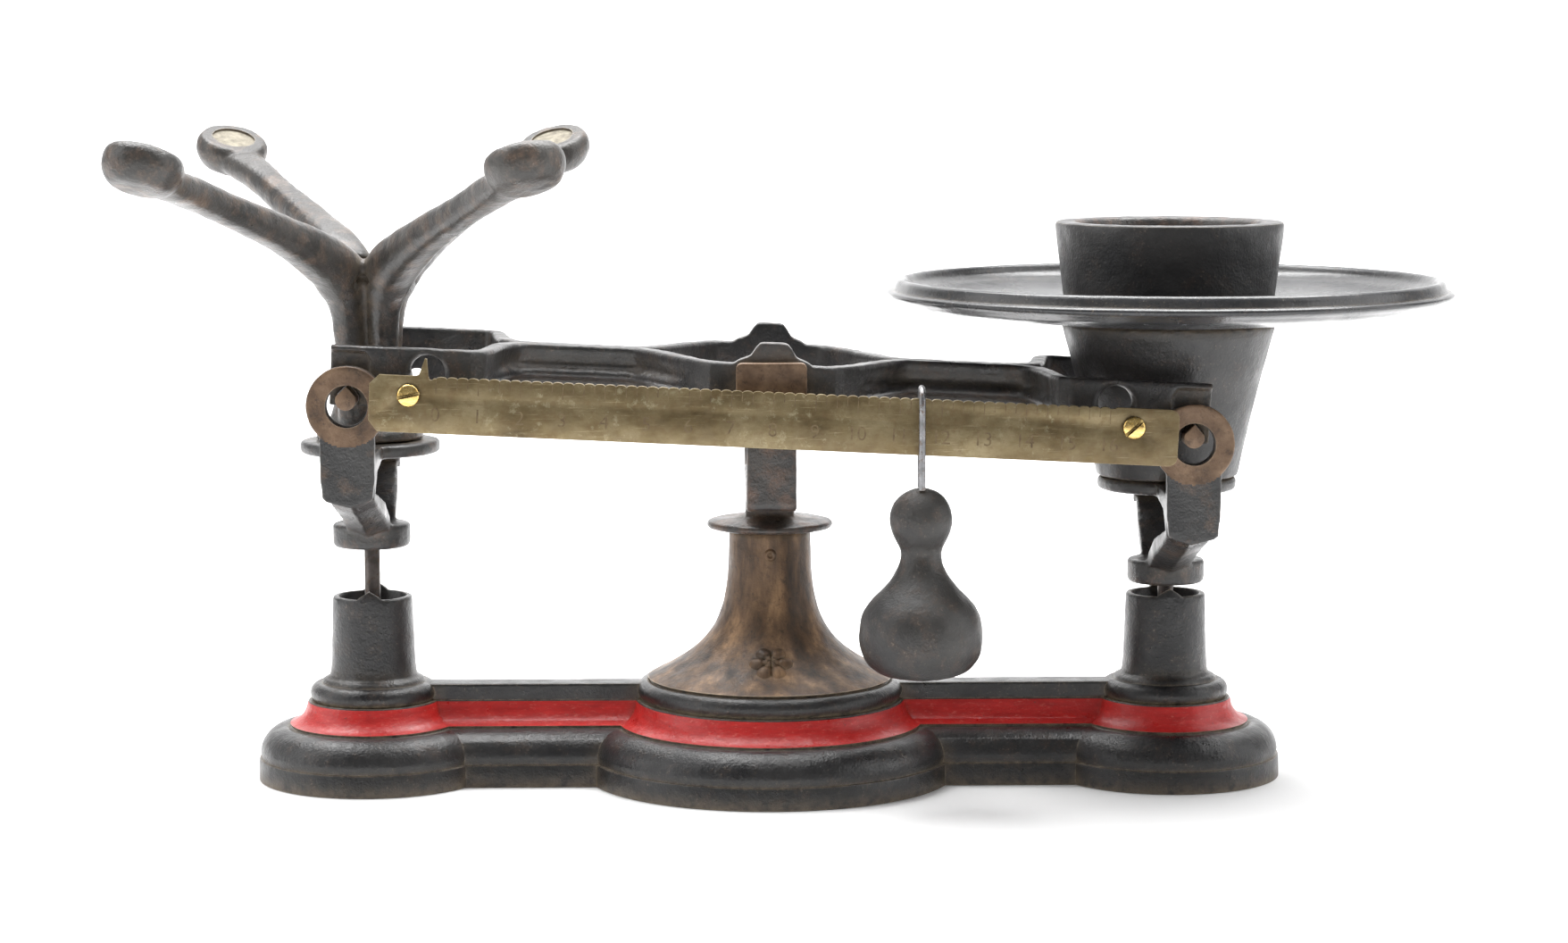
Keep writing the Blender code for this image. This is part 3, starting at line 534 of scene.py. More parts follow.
def bronze_paint(name, streaky=True):
    """Old bronze powder paint: brown with tan streaks that run down it, dark where it has gone."""
    look = Look(name)
    tall = (1.0, 1.0, 0.22) if streaky else (1.0, 1.0, 1.0)
    streak = look.noise(9, 5, 0.62, stretch=tall)
    colour = look.ramp(streak, [(0.32, (0.030, 0.022, 0.017)), (0.46, (0.080, 0.048, 0.028)),
                                (0.56, (0.150, 0.088, 0.047)), (0.70, (0.31, 0.185, 0.095))])
    if not streaky:
        colour = look.ramp(streak, [(0.30, (0.060, 0.038, 0.025)), (0.50, (0.150, 0.092, 0.055)),
                                    (0.70, (0.235, 0.150, 0.092))])
    sand = look.noise(0.8, 3, 0.6)
    dark = both(look, look.fit(look.noise(3.5, 5, 0.75, shift=(2, 5, 1)), 0.52, 0.68),
                look.fit(sand, 0.35, 0.6))
    colour = look.mix(look.maths("MULTIPLY", dark, 0.8), colour, (0.028, 0.022, 0.018))
    worn = both(look, look.edges(0.9), look.fit(look.noise(3, 4, 0.7, shift=(1, 2, 3)), 0.34, 0.6))
    colour = look.mix(look.maths("MULTIPLY", worn, 0.6), colour, (0.38, 0.29, 0.20))
    dust_and_shade = both(look, look.nooks(4.0), look.fit(look.noise(4, 5, 0.7, shift=(5, 1, 2)), 0.32, 0.6))
    colour = look.mix(look.maths("MULTIPLY", dust_and_shade, 0.55), colour, (0.13, 0.105, 0.06))
    rough = look.fit(look.noise(6, 4, 0.6), 0.3, 0.7, 0.36, 0.58)
    normal = look.bump(look.noise(5.5, 4, 0.6, shift=(7, 0, 3)), 0.28)
    normal = look.bump(sand, 0.10, normal)
    return look.done(colour, rough, normal, metallic=0.25, specular=0.5)


def old_brass():
    """Tarnished sheet brass: olive brown with darker stains, greenish blooms and rubbed edges."""
    look = Look("old_brass")
    stain = look.noise(17, 6, 0.66, stretch=(0.7, 1.0, 1.2))
    colour = look.ramp(stain, [(0.30, (0.095, 0.068, 0.032)), (0.44, (0.165, 0.122, 0.060)),
                               (0.58, (0.225, 0.175, 0.092)), (0.74, (0.30, 0.245, 0.140))])
    mottle = look.fit(look.noise(2.6, 5, 0.7, shift=(3, 0, 2)), 0.50, 0.68)
    colour = look.mix(look.maths("MULTIPLY", mottle, 0.5), colour, (0.155, 0.100, 0.048))
    bloom = both(look, look.fit(look.noise(4.2, 5, 0.72, shift=(8, 1, 0)), 0.56, 0.70),
                 look.fit(look.noise(30, 3, 0.5, shift=(0, 4, 4)), 0.42, 0.60))
    colour = look.mix(look.maths("MULTIPLY", bloom, 0.55), colour, (0.46, 0.42, 0.27))
    worn = look.edges(0.45, 0.03, 0.3)
    colour = look.mix(look.maths("MULTIPLY", worn, 0.7), colour, (0.56, 0.47, 0.28))
    scratch = look.fit(look.noise(1.6, 5, 0.7, stretch=(0.12, 1.0, 2.2), shift=(0, 0, 5)), 0.60, 0.66)
    colour = look.mix(look.maths("MULTIPLY", scratch, 0.25), colour, (0.50, 0.42, 0.26))
    rough = look.fit(look.noise(7, 5, 0.65), 0.3, 0.7, 0.34, 0.56)
    metal = look.fit(look.noise(5, 4, 0.6, shift=(4, 4, 4)), 0.35, 0.65, 0.45, 0.75)
    normal = look.bump(look.noise(3.0, 5, 0.65, shift=(1, 0, 1)), 0.10)
    normal = look.bump(scratch, -0.02, normal)
    return look.done(colour, rough, normal, metallic=metal)


def bright_brass():
    look = Look("bright_brass")
    streak = look.noise(1.1, 4, 0.6, stretch=(0.3, 1.0, 1.5))
    colour = look.mix(look.fit(streak, 0.35, 0.65), (0.66, 0.43, 0.13), (0.86, 0.64, 0.27))
    # painted shade: the brass goes near black deep in its crevices, chiefly in the screw slots
    dust_and_shade = look.nooks(1.6, 0.55, 0.92)
    colour = look.mix(look.maths("MULTIPLY", dust_and_shade, 0.97), colour, (0.030, 0.018, 0.008))
    rough = look.fit(look.noise(0.8, 4, 0.6), 0.3, 0.7, 0.16, 0.34)
    return look.done(colour, rough, look.bump(streak, 0.02), metallic=1.0)


def worn_steel(name, dark, light, brown, gloss=(0.30, 0.5)):
    look = Look(name)
    clouds = look.noise(6, 5, 0.65)
    colour = look.mix(look.fit(clouds, 0.35, 0.65), dark, light)
    spots = look.fit(look.noise(1.6, 5, 0.7, shift=(3, 1, 2)), 0.54, 0.66)
    colour = look.mix(look.maths("MULTIPLY", spots, 0.8), colour, brown)
    worn = look.edges(0.4, 0.04, 0.3)
    colour = look.mix(look.maths("MULTIPLY", worn, 0.5), colour, (0.42, 0.36, 0.30))
    rough = look.fit(look.noise(2.5, 4, 0.6), 0.3, 0.7, *gloss)
    normal = look.bump(look.noise(0.9, 4, 0.65), 0.05)
    return look.done(colour, rough, normal, metallic=0.8)


def ink():
    look = Look("engraving")
    clouds = look.noise(3.0, 5, 0.7)
    colour = look.mix(look.fit(clouds, 0.35, 0.6), (0.085, 0.055, 0.028), (0.20, 0.145, 0.075))
    return look.done(colour, look.fit(clouds, 0.3, 0.7, 0.5, 0.7), look.bump(clouds, 0.02), metallic=0.3)


def pale_pad():
    look = Look("worn_pad")
    clouds = look.noise(4.0, 5, 0.7)
    colour = look.mix(look.fit(clouds, 0.35, 0.65), (0.12, 0.10, 0.070), (0.34, 0.31, 0.24))
    return look.done(colour, look.fit(clouds, 0.3, 0.7, 0.6, 0.85),
                     look.bump(look.noise(1.0, 4, 0.6), 0.12))


JAPAN = iron("black_japan", (0.006, 0.006, 0.007), (0.020, 0.019, 0.019), (0.055, 0.034, 0.024))
BEAM_IRON = iron("beam_iron", (0.016, 0.016, 0.017), (0.050, 0.048, 0.047), (0.085, 0.056, 0.040), 0.35,
                 0.55)
HANGER_IRON = iron("hanger_iron", (0.014, 0.014, 0.015), (0.046, 0.045, 0.044), (0.14, 0.090, 0.062), 0.35,
                   0.5)
# painted light: the spider's iron is a lighter grey than the base's, standing in for the strong light on it;
# its brown rust patches are real
SPIDER_IRON = iron("spider_iron", (0.018, 0.017, 0.016), (0.060, 0.055, 0.050), (0.15, 0.098, 0.068), 0.45,
                   0.45)
POST_IRON = iron("post_iron", (0.018, 0.017, 0.017), (0.050, 0.043, 0.038), (0.12, 0.070, 0.048), 0.6, 0.5)
POISE_IRON = iron("poise_iron", (0.016, 0.015, 0.015), (0.040, 0.037, 0.034), (0.075, 0.048, 0.034), 0.4,
                  0.3,
                  gloss=(0.36, 0.55))
PLATE_IRON = iron("plate_iron", (0.016, 0.017, 0.019), (0.038, 0.039, 0.042), (0.075, 0.056, 0.042), 0.2,
                  0.5,
                  gloss=(0.16, 0.30), grain=0.07, rolling=0.12)
CUP_IRON = iron("cup_iron", (0.012, 0.012, 0.013), (0.034, 0.032, 0.031), (0.070, 0.045, 0.032), 0.25, 0.4,
                gloss=(0.30, 0.52), grain=0.16)
RED_PAINT = red_paint()
BELL_BRONZE = bronze_paint("bell_bronze")
RING_BRONZE = bronze_paint("ring_bronze", streaky=False)
OLD_BRASS = old_brass()
BRIGHT_BRASS = bright_brass()
STEEL = worn_steel("pivot_steel", (0.10, 0.070, 0.050), (0.21, 0.135, 0.090), (0.070, 0.042, 0.028))
ROD_STEEL = worn_steel("rod_steel", (0.07, 0.06, 0.055), (0.15, 0.13, 0.12), (0.11, 0.060, 0.035))
LINER_STEEL = worn_steel("liner_steel", (0.030, 0.030, 0.031), (0.075, 0.072, 0.070), (0.07, 0.045, 0.032))
WIRE = worn_steel("bail_wire", (0.16, 0.16, 0.165), (0.34, 0.34, 0.35), (0.14, 0.085, 0.055),
                  gloss=(0.22, 0.4))
INK = ink()
PAD = pale_pad()


# ---------------------------------------------------------------- base

CENTRE_RADIUS = 64.0
END_RADIUS = 40.0
BRIDGE_RADIUS = 22.4
BRIDGE_TOP = 33.0
BELL_BOTTOM = 34.6
BELL_TOP = 86.5
COLUMN_TOP = 63.6
COLUMN_RADIUS = 13.8
COLUMN_BORE = 11.5
NIB_HEIGHT = 3.0


def bell_radius(z):
    return 14.0 + 29.0 * math.exp(-((max(z - BELL_BOTTOM, 0.0) / 11.6) ** 1.15))


def moulding(radius, foot):
    """The moulding that every part of the base shares, from its foot to the top of the red cove."""
    return [
        (radius - 0.3, foot),
        (radius, foot + 1.0),
        (radius, 6.9),
        (radius - 0.25, 7.45),
        (radius - 0.9, 7.7),
        (radius - 1.0, 8.3),
        *arc((radius - 10.0, 9.0), (9.5, 9.6), 4, 84, 12),
        (radius - 9.9, 18.3),
        (radius - 10.6, 18.1),
        (radius - 11.1, 18.6),
        *arc((radius - 9.6, 27.6), (7.4, 8.4), 260, 188, 9),
        (radius - 17.2, 26.9),
        (radius - 17.5, 27.35),
    ]


COVE_START = 6 + 13 + 3
COVE_END = COVE_START + 10


def build_base():
    shell_paint = [(COVE_START, COVE_END, RED)]
    centre = moulding(CENTRE_RADIUS, -2.0)
    centre += [(CENTRE_RADIUS - 18.0, 27.4), *arc((CENTRE_RADIUS - 21.2, 30.5), (3.5, 3.55), -52, 78, 9)]
    centre += [(42.6, 33.9), (41.9, 33.7), (41.6, 34.1), (42.0, 34.5)]
    bell_start = len(centre) + 1
    for step in range(41):
        z = BELL_BOTTOM + 0.3 + (BELL_TOP - 1.0 - BELL_BOTTOM) * (step / 40) ** 1.3
        centre.append((bell_radius(z), z))
    centre += [(13.9, 86.2), (13.4, BELL_TOP), (0.0, BELL_TOP)]
    bands = [(a + 1, b + 1, c) for a, b, c in shell_paint] + [(bell_start, len(centre) + 1, BRONZE)]
    body = temp(lathe([(0.0, -2.0), *centre], 144, paint=bands))

    for side in (-1, 1):
        end = moulding(END_RADIUS, -3.0)
        end += [(END_RADIUS - 18.0, 27.3), *arc((END_RADIUS - 21.7, 29.9), (3.7, 3.7), -45, 72, 9)]
        end += [(18.9, 33.5), (17.9, 33.5), (17.6, 34.0), (17.3, 34.7), (16.4, 35.2), (15.5, 35.7)]
        end += curve_through([(15.15, 36.3), (14.7, 39.0), (14.25, 48.0), (COLUMN_RADIUS, 62.4)], 6)
        end += [(COLUMN_RADIUS - 0.15, 63.2), (COLUMN_RADIUS - 0.6, COLUMN_TOP)]
        end += [(COLUMN_BORE + 0.4, COLUMN_TOP), (COLUMN_BORE, 63.0), (COLUMN_BORE, 40.0), (0.0, 40.0)]
        bm = lathe([(0.0, -3.0), *end], 112, (side * PAN_X, 0.0), [(COVE_START + 1, COVE_END + 1, RED)])
        for vert in bm.verts:
            lean = abs(math.atan2(vert.co.x - side * PAN_X, abs(vert.co.y)))
            if vert.co.z > 62.0 and lean < math.radians(20):
                share = (vert.co.z - 62.0) / (COLUMN_TOP - 62.0)
                vert.co.z += share * NIB_HEIGHT * max(0.0, 1.0 - lean / math.radians(20)) ** 0.9
        join(body, bm)

    half = moulding(BRIDGE_RADIUS, -4.0)
    half += [(5.0, 27.5), (5.0, 32.3), (4.8, 32.8), (4.3, BRIDGE_TOP)]
    count = len(half)
    outline = half + [(-y, z) for y, z in reversed(half)]
    bands = [(COVE_START, COVE_END, RED), (2 * count - 1 - COVE_END, 2 * count - 1 - COVE_START, RED)]
    join(body, prism(outline, -PAN_X, PAN_X, "X", bands))

    cut(body, block((-200.0, -90.0, -20.0), (200.0, 90.0, 0.0)))
    hollow = [(0, -5), (57, -5), (57, 7), (47, 16), (40, 22), (28, 32), (14, 42), (12, 50), (6.6, 52),
              (6.6, 90), (0, 90)]
    cut(body, lathe(hollow, 96))
    hollow = [(0, -6), (34, -6), (34, 7), (25, 16), (17, 22), (COLUMN_BORE, 29), (COLUMN_BORE, 45), (0, 45)]
    for side in (-1, 1):
        cut(body, lathe(hollow, 80, (side * PAN_X, 0.0)))
    half = [(17.0, -7.0), (17.0, 7.0), (8.0, 15.0), (4.6, 19.5), (3.4, 22.5)]
    cut(body, prism(mirrored(half), -PAN_X + 6, PAN_X - 6, "X"))
    join(body, block((-9.0, -59.0, 0.0), (9.0, 59.0, 4.0)))
    for side in (-1, 1):
        ear = [(-5.0, 1.0), (5.0, 1.0), *arc((0.0, 12.0), (5.0, 5.0), 0, 180, 12)]
        join(body, prism(ear, *sorted((side * 2.8, side * 8.0))))
    cut(body, rod(1.95, -9.5, 9.5, (0.0, 12.0), "Y", 24))

    base = uneven(body, 0.10, 9.0, floor=0.6)
    piece(base, "base_shell", "base", ["base_casting"], [JAPAN, RED_PAINT, BELL_BRONZE],
          sharp=42)
    build_rosette()


def on_bell(u, v, lift, centre_z):
    """A point lift above the bell's front: u to the right and v up its slope from centre_z."""
    z = centre_z
    step = v / 24
    for _ in range(24):
        slope = (bell_radius(z + 0.05) - bell_radius(z - 0.05)) / 0.1
        z += step / math.sqrt(1 + slope * slope)
    radius = bell_radius(z)
    slope = (bell_radius(z + 0.05) - bell_radius(z - 0.05)) / 0.1
    length = math.sqrt(1 + slope * slope)
    radius += lift / length
    z += -lift * slope / length
    angle = u / max(radius, 1.0)
    return (radius * math.sin(angle), -radius * math.cos(angle), z)


def relief(centre_z, radius, height, rings=26, segments=96):
    """A round ornament on the bell. height(r, angle) is its height, and its rim is sunk in the paint."""
    bm = bmesh.new()
    grid = []
    for i in range(1, rings + 1):
        r = radius * i / rings
        ring = []
        for j in range(segments):
            angle = 2 * math.pi * j / segments
            lift = height(r / radius, angle) if i < rings else -0.6
            ring.append(bm.verts.new(on_bell(r * math.cos(angle), r * math.sin(angle), lift, centre_z)))
        grid.append(ring)
    top = bm.verts.new(on_bell(0.0, 0.0, height(0.0, 0.0), centre_z))
    for j in range(segments):
        bm.faces.new((top, grid[0][j], grid[0][(j + 1) % segments]))
    for inner, outer in zip(grid, grid[1:]):
        for j in range(segments):
            k = (j + 1) % segments
            bm.faces.new((inner[j], outer[j], outer[k], inner[k]))
    bottom = bm.verts.new(on_bell(0.0, 0.0, -0.9, centre_z))
    for j in range(segments):
        bm.faces.new((bottom, grid[-1][(j + 1) % segments], grid[-1][j]))
    return bm


def build_rosette():
    """A cast rosette of six petals low on the bell's front, and a small boss under the collar."""

    def petals(r, angle):
        petal = abs(math.cos(3 * angle)) ** 0.6
        reach = 0.62 + 0.34 * petal
        body = max(0.0, 1 - (r / reach) ** 2) ** 0.5
        leaf = 2.4 * body * (0.45 + 0.55 * petal) * (1 - 0.25 * math.exp(-((r - 0.34) / 0.08) ** 2))
        button = 1.5 * max(0.0, 1 - (r / 0.26) ** 2) ** 0.5
        return leaf * (0.35 + 0.65 * min(1.0, r / 0.3)) + button - 0.25

    def ring_boss(r, angle):
        return 0.75 * math.exp(-((r - 0.55) / 0.25) ** 2) - 0.1

    piece(temp(relief(*ROSETTE, petals)), "bell_rosette", "base", [], BELL_BRONZE,
          sharp=60)
    piece(temp(relief(*BOSS, ring_boss, 10, 40)), "bell_boss", "base", [], BELL_BRONZE,
          sharp=60)


# ---------------------------------------------------------------- fulcrum

def build_fulcrum():
    collar = [(0.0, 45.0), (6.25, 45.0), (6.25, 86.9), (20.6, 86.9), (21.6, 87.4), (21.9, 88.4),
              (21.4, 89.4),
              (18.0, 90.2), (12.0, 90.9), (9.0, 91.6), (0.0, 91.8)]
    yoke = temp(lathe(collar, 96))
    front = 50.4
    outer = [(front, 127.5), (front, 101.0), *arc((front - 3.0, 101.4), (3.0, 3.0), 0, -80, 5), (8.3, 98.4),
             (8.3, 89.0)]
    inner = [(-46.6, 127.5), (-46.6, 106.0), (-44.0, 104.0), (0.0, 104.0)]
    arms = prism(mirrored(outer) + mirrored(inner), -8.35, 8.35, "X")
    pour(yoke, [arms], 0.6, 3)
    uneven(yoke, 0.10, 6.0)
    piece(yoke, "fulcrum_post", "base", ["fulcrum_yoke"], POST_IRON, sharp=80)
    for side in (-1, 1):
        lo, hi = sorted((side * 46.6, side * front))
        shape = [(-11.8, 127.85), (11.8, 127.85), (11.8, 146.4), *arc((9.8, 146.4), (2.0, 2.0), 0, 90, 4),
                 *arc((-9.8, 146.4), (2.0, 2.0), 90, 180, 4)]
        cap = temp(prism(shape, lo, hi))
        lo, hi = sorted((side * 45.0, side * (front - 0.9)))
        cut(cap, block((-6.0, lo, 129.2), (6.0, hi, 143.6)))
        bevelled(cap, 0.45, 3)
        name = FACE_NAME[side]
        piece(cap, f"head_cap_{name}", "base", [f"head_block_{name}"], RING_BRONZE)


# ---------------------------------------------------------------- beam

def smooth_step(t):
    t = min(max(t, 0.0), 1.0)
    return t * t * (3 - 2 * t)


def beam_route():
    """One side of the beam in plan, from its left end to its right end."""
    route = [(17.0, WALL_Y)]
    for step in range(1, 13):
        t = step / 12
        route.append((17.0 + 31.0 * t, WALL_Y + (2.0 - WALL_Y) * smooth_step(t)))
    route += [(60.0, 1.9), (72.0, 1.9), (82.0, 2.0), (88.0, 3.8), (91.4, 8.4), (93.4, 16.0), (94.8, 26.0),
              (96.0, 36.0),
              (97.6, 41.4), (101.0, WALL_Y), (108.0, WALL_Y), (120.0, WALL_Y), (134.0, WALL_Y),
              (RAIL_END, WALL_Y)]
    return [(-x, y) for x, y in reversed(route)] + route


def web_section(share):
    """Half widths of the web at each height. share is 1 in the middle of an arm, and 0 on the flat rails."""
    plain = [(BEAM_TOP, 1.7), (BEAM_TOP - 0.5, 2.35), (BEAM_TOP - 1.4, 2.5), (BEAM_TOP - 3.0, 2.5),
             (8.4, 2.5), (6.6, 2.5),
             (5.6, 2.5), (4.6, 2.5), (3.4, 2.5), (2.2, 2.5), (1.4, 2.5), (0.2, 2.5), (-3.0, 2.5),
             (-6.0, 2.5), (BEAM_BOTTOM, 1.9)]
    beaded = [2.3, 3.0, 3.2, 2.8, 1.9, 1.6, 2.3, 3.9, 4.7, 4.2, 2.3, 1.3, 1.2, 1.6, 1.3]
    return [(z, half + (bead - half) * share) for (z, half), bead in zip(plain, beaded)]


def beam_side(side):
    route = [(x, side * y) for x, y in beam_route()]
    sections = []
    for i, (x, y) in enumerate(route):
        before = Vector(route[max(i - 1, 0)])
        after = Vector(route[min(i + 1, len(route) - 1)])
        along = (after - before).normalized()
        normal = Vector((along.y, -along.x))
        first = (Vector((x, y)) - before).normalized() if i else along
        reach = 1.0 / max(abs(Vector((first.y, -first.x)).dot(normal)), 0.6)
        share = smooth_step((abs(x) - 24.0) / 12.0) * smooth_step((97.5 - abs(x)) / 6.0)
        half = web_section(share)
        ring = [(x + normal.x * w * reach, y + normal.y * w * reach, z) for z, w in half]
        ring += [(x - normal.x * w * reach, y - normal.y * w * reach, z) for z, w in reversed(half)]
        sections.append(ring)
    made = temp(loft(sections))
    lo, hi = sorted((side * (WALL_Y - 2.4), side * (WALL_Y + 2.4)))
    hump = [(-14.6, BEAM_TOP - 4.0), (-14.6, BEAM_TOP - 1.2), (-11.6, BEAM_TOP + 1.0),
            (-7.6, BEAM_TOP + 2.6),
            (-6.0, BEAM_TOP + 5.2), (-4.6, HUMP_TOP - 0.3), (-3.4, HUMP_TOP)]
    join(made, prism(mirrored(hump), lo, hi))
    lo, hi = sorted((side * (WALL_Y - 6.0), side * (WALL_Y + 6.0)))
    for end in (-1, 1):
        face = side * (WALL_Y + WALL_HALF)
        if side < 0:
            flare = [(side * (WALL_Y - 6.0), 5.6), (face - side * 2.2, 5.7), (face - side * 0.6, 6.6),
                     (face + side * 0.2, 7.8), (face + side * 3.0, 8.0)]
            cut(made, cone_rod(flare, (end * WINDOW_AT[0], WINDOW_AT[1])))
        else:
            cut(made, rod(NOTCH_RADIUS, lo, hi, (end * NOTCH_AT[0], NOTCH_AT[1]), "Y", 48))
        cut(made, prism(teardrop(end * ARM, GAP), lo, hi))
        pocket = [(end * 133.6, -9.0), (end * 133.6, 8.6), (end * 135.4, 11.2), (end * 150.0, 11.4),
                  (end * 150.0, -9.0)]
        near, far = sorted((face - side * 1.5, face + side * 2.0))
        cut(made, prism(pocket, near, far))
    cut(made, prism(centre_edge(GAP), lo, hi))
    return made


def teardrop(centre_x, grow=0.0):
    back = arc((centre_x, -4.6), (3.45 + grow, 3.45 + grow), 158, 382, 20)
    return [*back, (centre_x, grow * 1.6)]


def centre_edge(grow=0.0):
    back = arc((0.0, 4.6), (3.2 + grow, 3.2 + grow), -20, 200, 16)
    return [*back, (0.0, -grow * 1.6)]


def build_beam():
    beam = beam_side(-1)
    boss_tools = []
    for end in (-1, 1):
        place = (end * BAR_SCREW_X, BAR_SCREW_Z)
        boss_tools.append(cone_rod([(BAR_Y + BAR_THICK / 2 + GAP, 3.1), (-WALL_Y - 5.0, 3.3),
                                    (-WALL_Y - 2.6, 4.6),
                                    (-WALL_Y, 5.0)], place))
    pour(beam, [beam_side(1), *boss_tools], 0.62, 2)
    uneven(beam, 0.14, 5.0)
    piece(beam, "beam_bar", "beam", ["beam_casting"], BEAM_IRON, ON_BEAM, sharp=80)
    for side in (-1, 1):
        for end in (-1, 1):
            lo, hi = sorted((side * (WALL_Y - 2.5), side * 51.6))
            edge = bevelled(temp(prism(teardrop(end * ARM), lo, hi)), 0.3, 3, 50)
            name = f"{SIDE_NAME[end]}_knife_{FACE_NAME[side]}"
            piece(edge, f"{name}_edge", "beam", [name], RING_BRONZE, ON_BEAM, sharp=50)


def build_graduated_bar():
    corner = 3.0
    top = [(BAR_LEFT + corner, BAR_TOP), (-117.4, BAR_TOP), (-116.4, BAR_TOP + 0.3),
           (-115.9, BAR_TOP + 1.0),
           (-114.35, BAR_TOP + 5.8), (-113.75, BAR_TOP + 5.8), (-113.0, BAR_TOP - 0.2),
           *arc((-112.1, BAR_TOP - 0.35), (0.75, 0.8), 180, 340, 6)]
    for notch in range(NOTCHES):
        centre = SCALE_ZERO_X + (notch + 0.5) * NOTCH_PITCH
        top += arc((centre, BAR_TOP - 0.7), (NOTCH_PITCH / 2 - 0.04, 0.7), 172, 8, 7)
    end = SCALE_ZERO_X + NOTCHES * NOTCH_PITCH
    top += [(end + 1.2, BAR_TOP - 0.5), (end + 2.4, BAR_TOP), (BAR_RIGHT - corner, BAR_TOP)]
    outline = top + arc((BAR_RIGHT - corner, BAR_TOP - corner), (corner, corner), 80, 0, 6)
    outline += arc((BAR_RIGHT - corner, BAR_BOTTOM + corner), (corner, corner), 0, -90, 6)
    outline += [(BAR_LEFT + corner, BAR_BOTTOM), (BAR_LEFT, BAR_BOTTOM + corner + 0.6),
                (BAR_LEFT, BAR_TOP - corner)]
    bar = temp(prism(outline, BAR_Y - BAR_THICK / 2, BAR_Y + BAR_THICK / 2))
    for end in (-1, 1):
        cut(bar, rod(1.85, BAR_Y - 3, BAR_Y + 3, (end * BAR_SCREW_X, BAR_SCREW_Z), "Y", 32))
    bevelled(bar, 0.16, 2, 40)
    piece(bar, "brass_bar", "beam", ["graduated_bar"], OLD_BRASS, ON_BEAM, sharp=30)

    marks = bmesh.new()
    face = BAR_Y - BAR_THICK / 2

    def mark(x, lo, hi, half):
        corners = [(x - half, lo), (x + half, lo), (x + half, hi), (x - half, hi)]
        made = prism(corners, face - 0.03, face + 0.3)
        mesh = bpy.data.meshes.new("mark")
        made.to_mesh(mesh)
        made.free()
        marks.from_mesh(mesh)
        bpy.data.meshes.remove(mesh)

    for notch in range(NOTCHES + 1):
        x = SCALE_ZERO_X + notch * NOTCH_PITCH
        length = 4.6 if notch % 4 == 0 else 3.4 if notch % 2 == 0 else 2.4
        mark(x, BAR_TOP - 1.0 - length, BAR_TOP - 1.0, 0.13)
    for number in range(17):
        text = bpy.data.curves.new("figure", "FONT")
        text.body = str(number)
        text.size = 6.6
        text.align_x = "CENTER"
        text.extrude = 0.16
        text.offset = -0.03
        obj = bpy.data.objects.new("figure", text)
        bpy.context.scene.collection.objects.link(obj)
        graph = bpy.context.evaluated_depsgraph_get()
        mesh = bpy.data.meshes.new_from_object(obj.evaluated_get(graph))
        x = SCALE_ZERO_X + number * 4 * NOTCH_PITCH
        mesh.transform(Matrix.Translation((x, face + 0.13, -9.0)) @ Matrix.Rotation(math.pi / 2, 4, "X"))
        marks.from_mesh(mesh)
        bpy.data.meshes.remove(mesh)
        bpy.data.objects.remove(obj, do_unlink=True)
    bmesh.ops.triangulate(marks, faces=[f for f in marks.faces if len(f.verts) > 4])
    piece(temp(marks), "bar_figures", "beam", [], INK, ON_BEAM, sharp=30)

    for end, turn in ((-1, -15), (1, -45)):
        front = face - GAP
        x = end * BAR_SCREW_X
        head = [(0.0, 0.0), (3.55, 0.0), (3.75, 0.25), (3.75, 0.8),
                *arc((0.0, 0.75), (3.7, 1.15), 0, 90, 8)]
        head[-1] = (0.0, head[-1][1])
        screw = temp(lathe(head, 64))
        screw.data.transform(Matrix.Translation((x, front, BAR_SCREW_Z)) @ Matrix.Rotation(math.pi / 2, 4,
                                                                                           "X"))
        join(screw, rod(1.5, front - 0.3, -WALL_Y + 1.5, (x, BAR_SCREW_Z), "Y", 32))
        slot = block((-4.4, -1.0, -0.62), (4.4, 1.25, 0.62))
        bmesh.ops.rotate(slot, matrix=Matrix.Rotation(math.radians(turn), 3, "Y"), verts=slot.verts)
        bmesh.ops.translate(slot, vec=(x, front - 1.85, BAR_SCREW_Z), verts=slot.verts)
        cut(screw, slot)
        bevelled(screw, 0.12, 2, 40)
        name = SIDE_NAME[end]
        piece(screw, f"brass_screw_{name}", "beam", [f"bar_screw_{name}"], BRIGHT_BRASS,
              ON_BEAM, sharp=30)


# ---------------------------------------------------------------- hangers, stems and liners

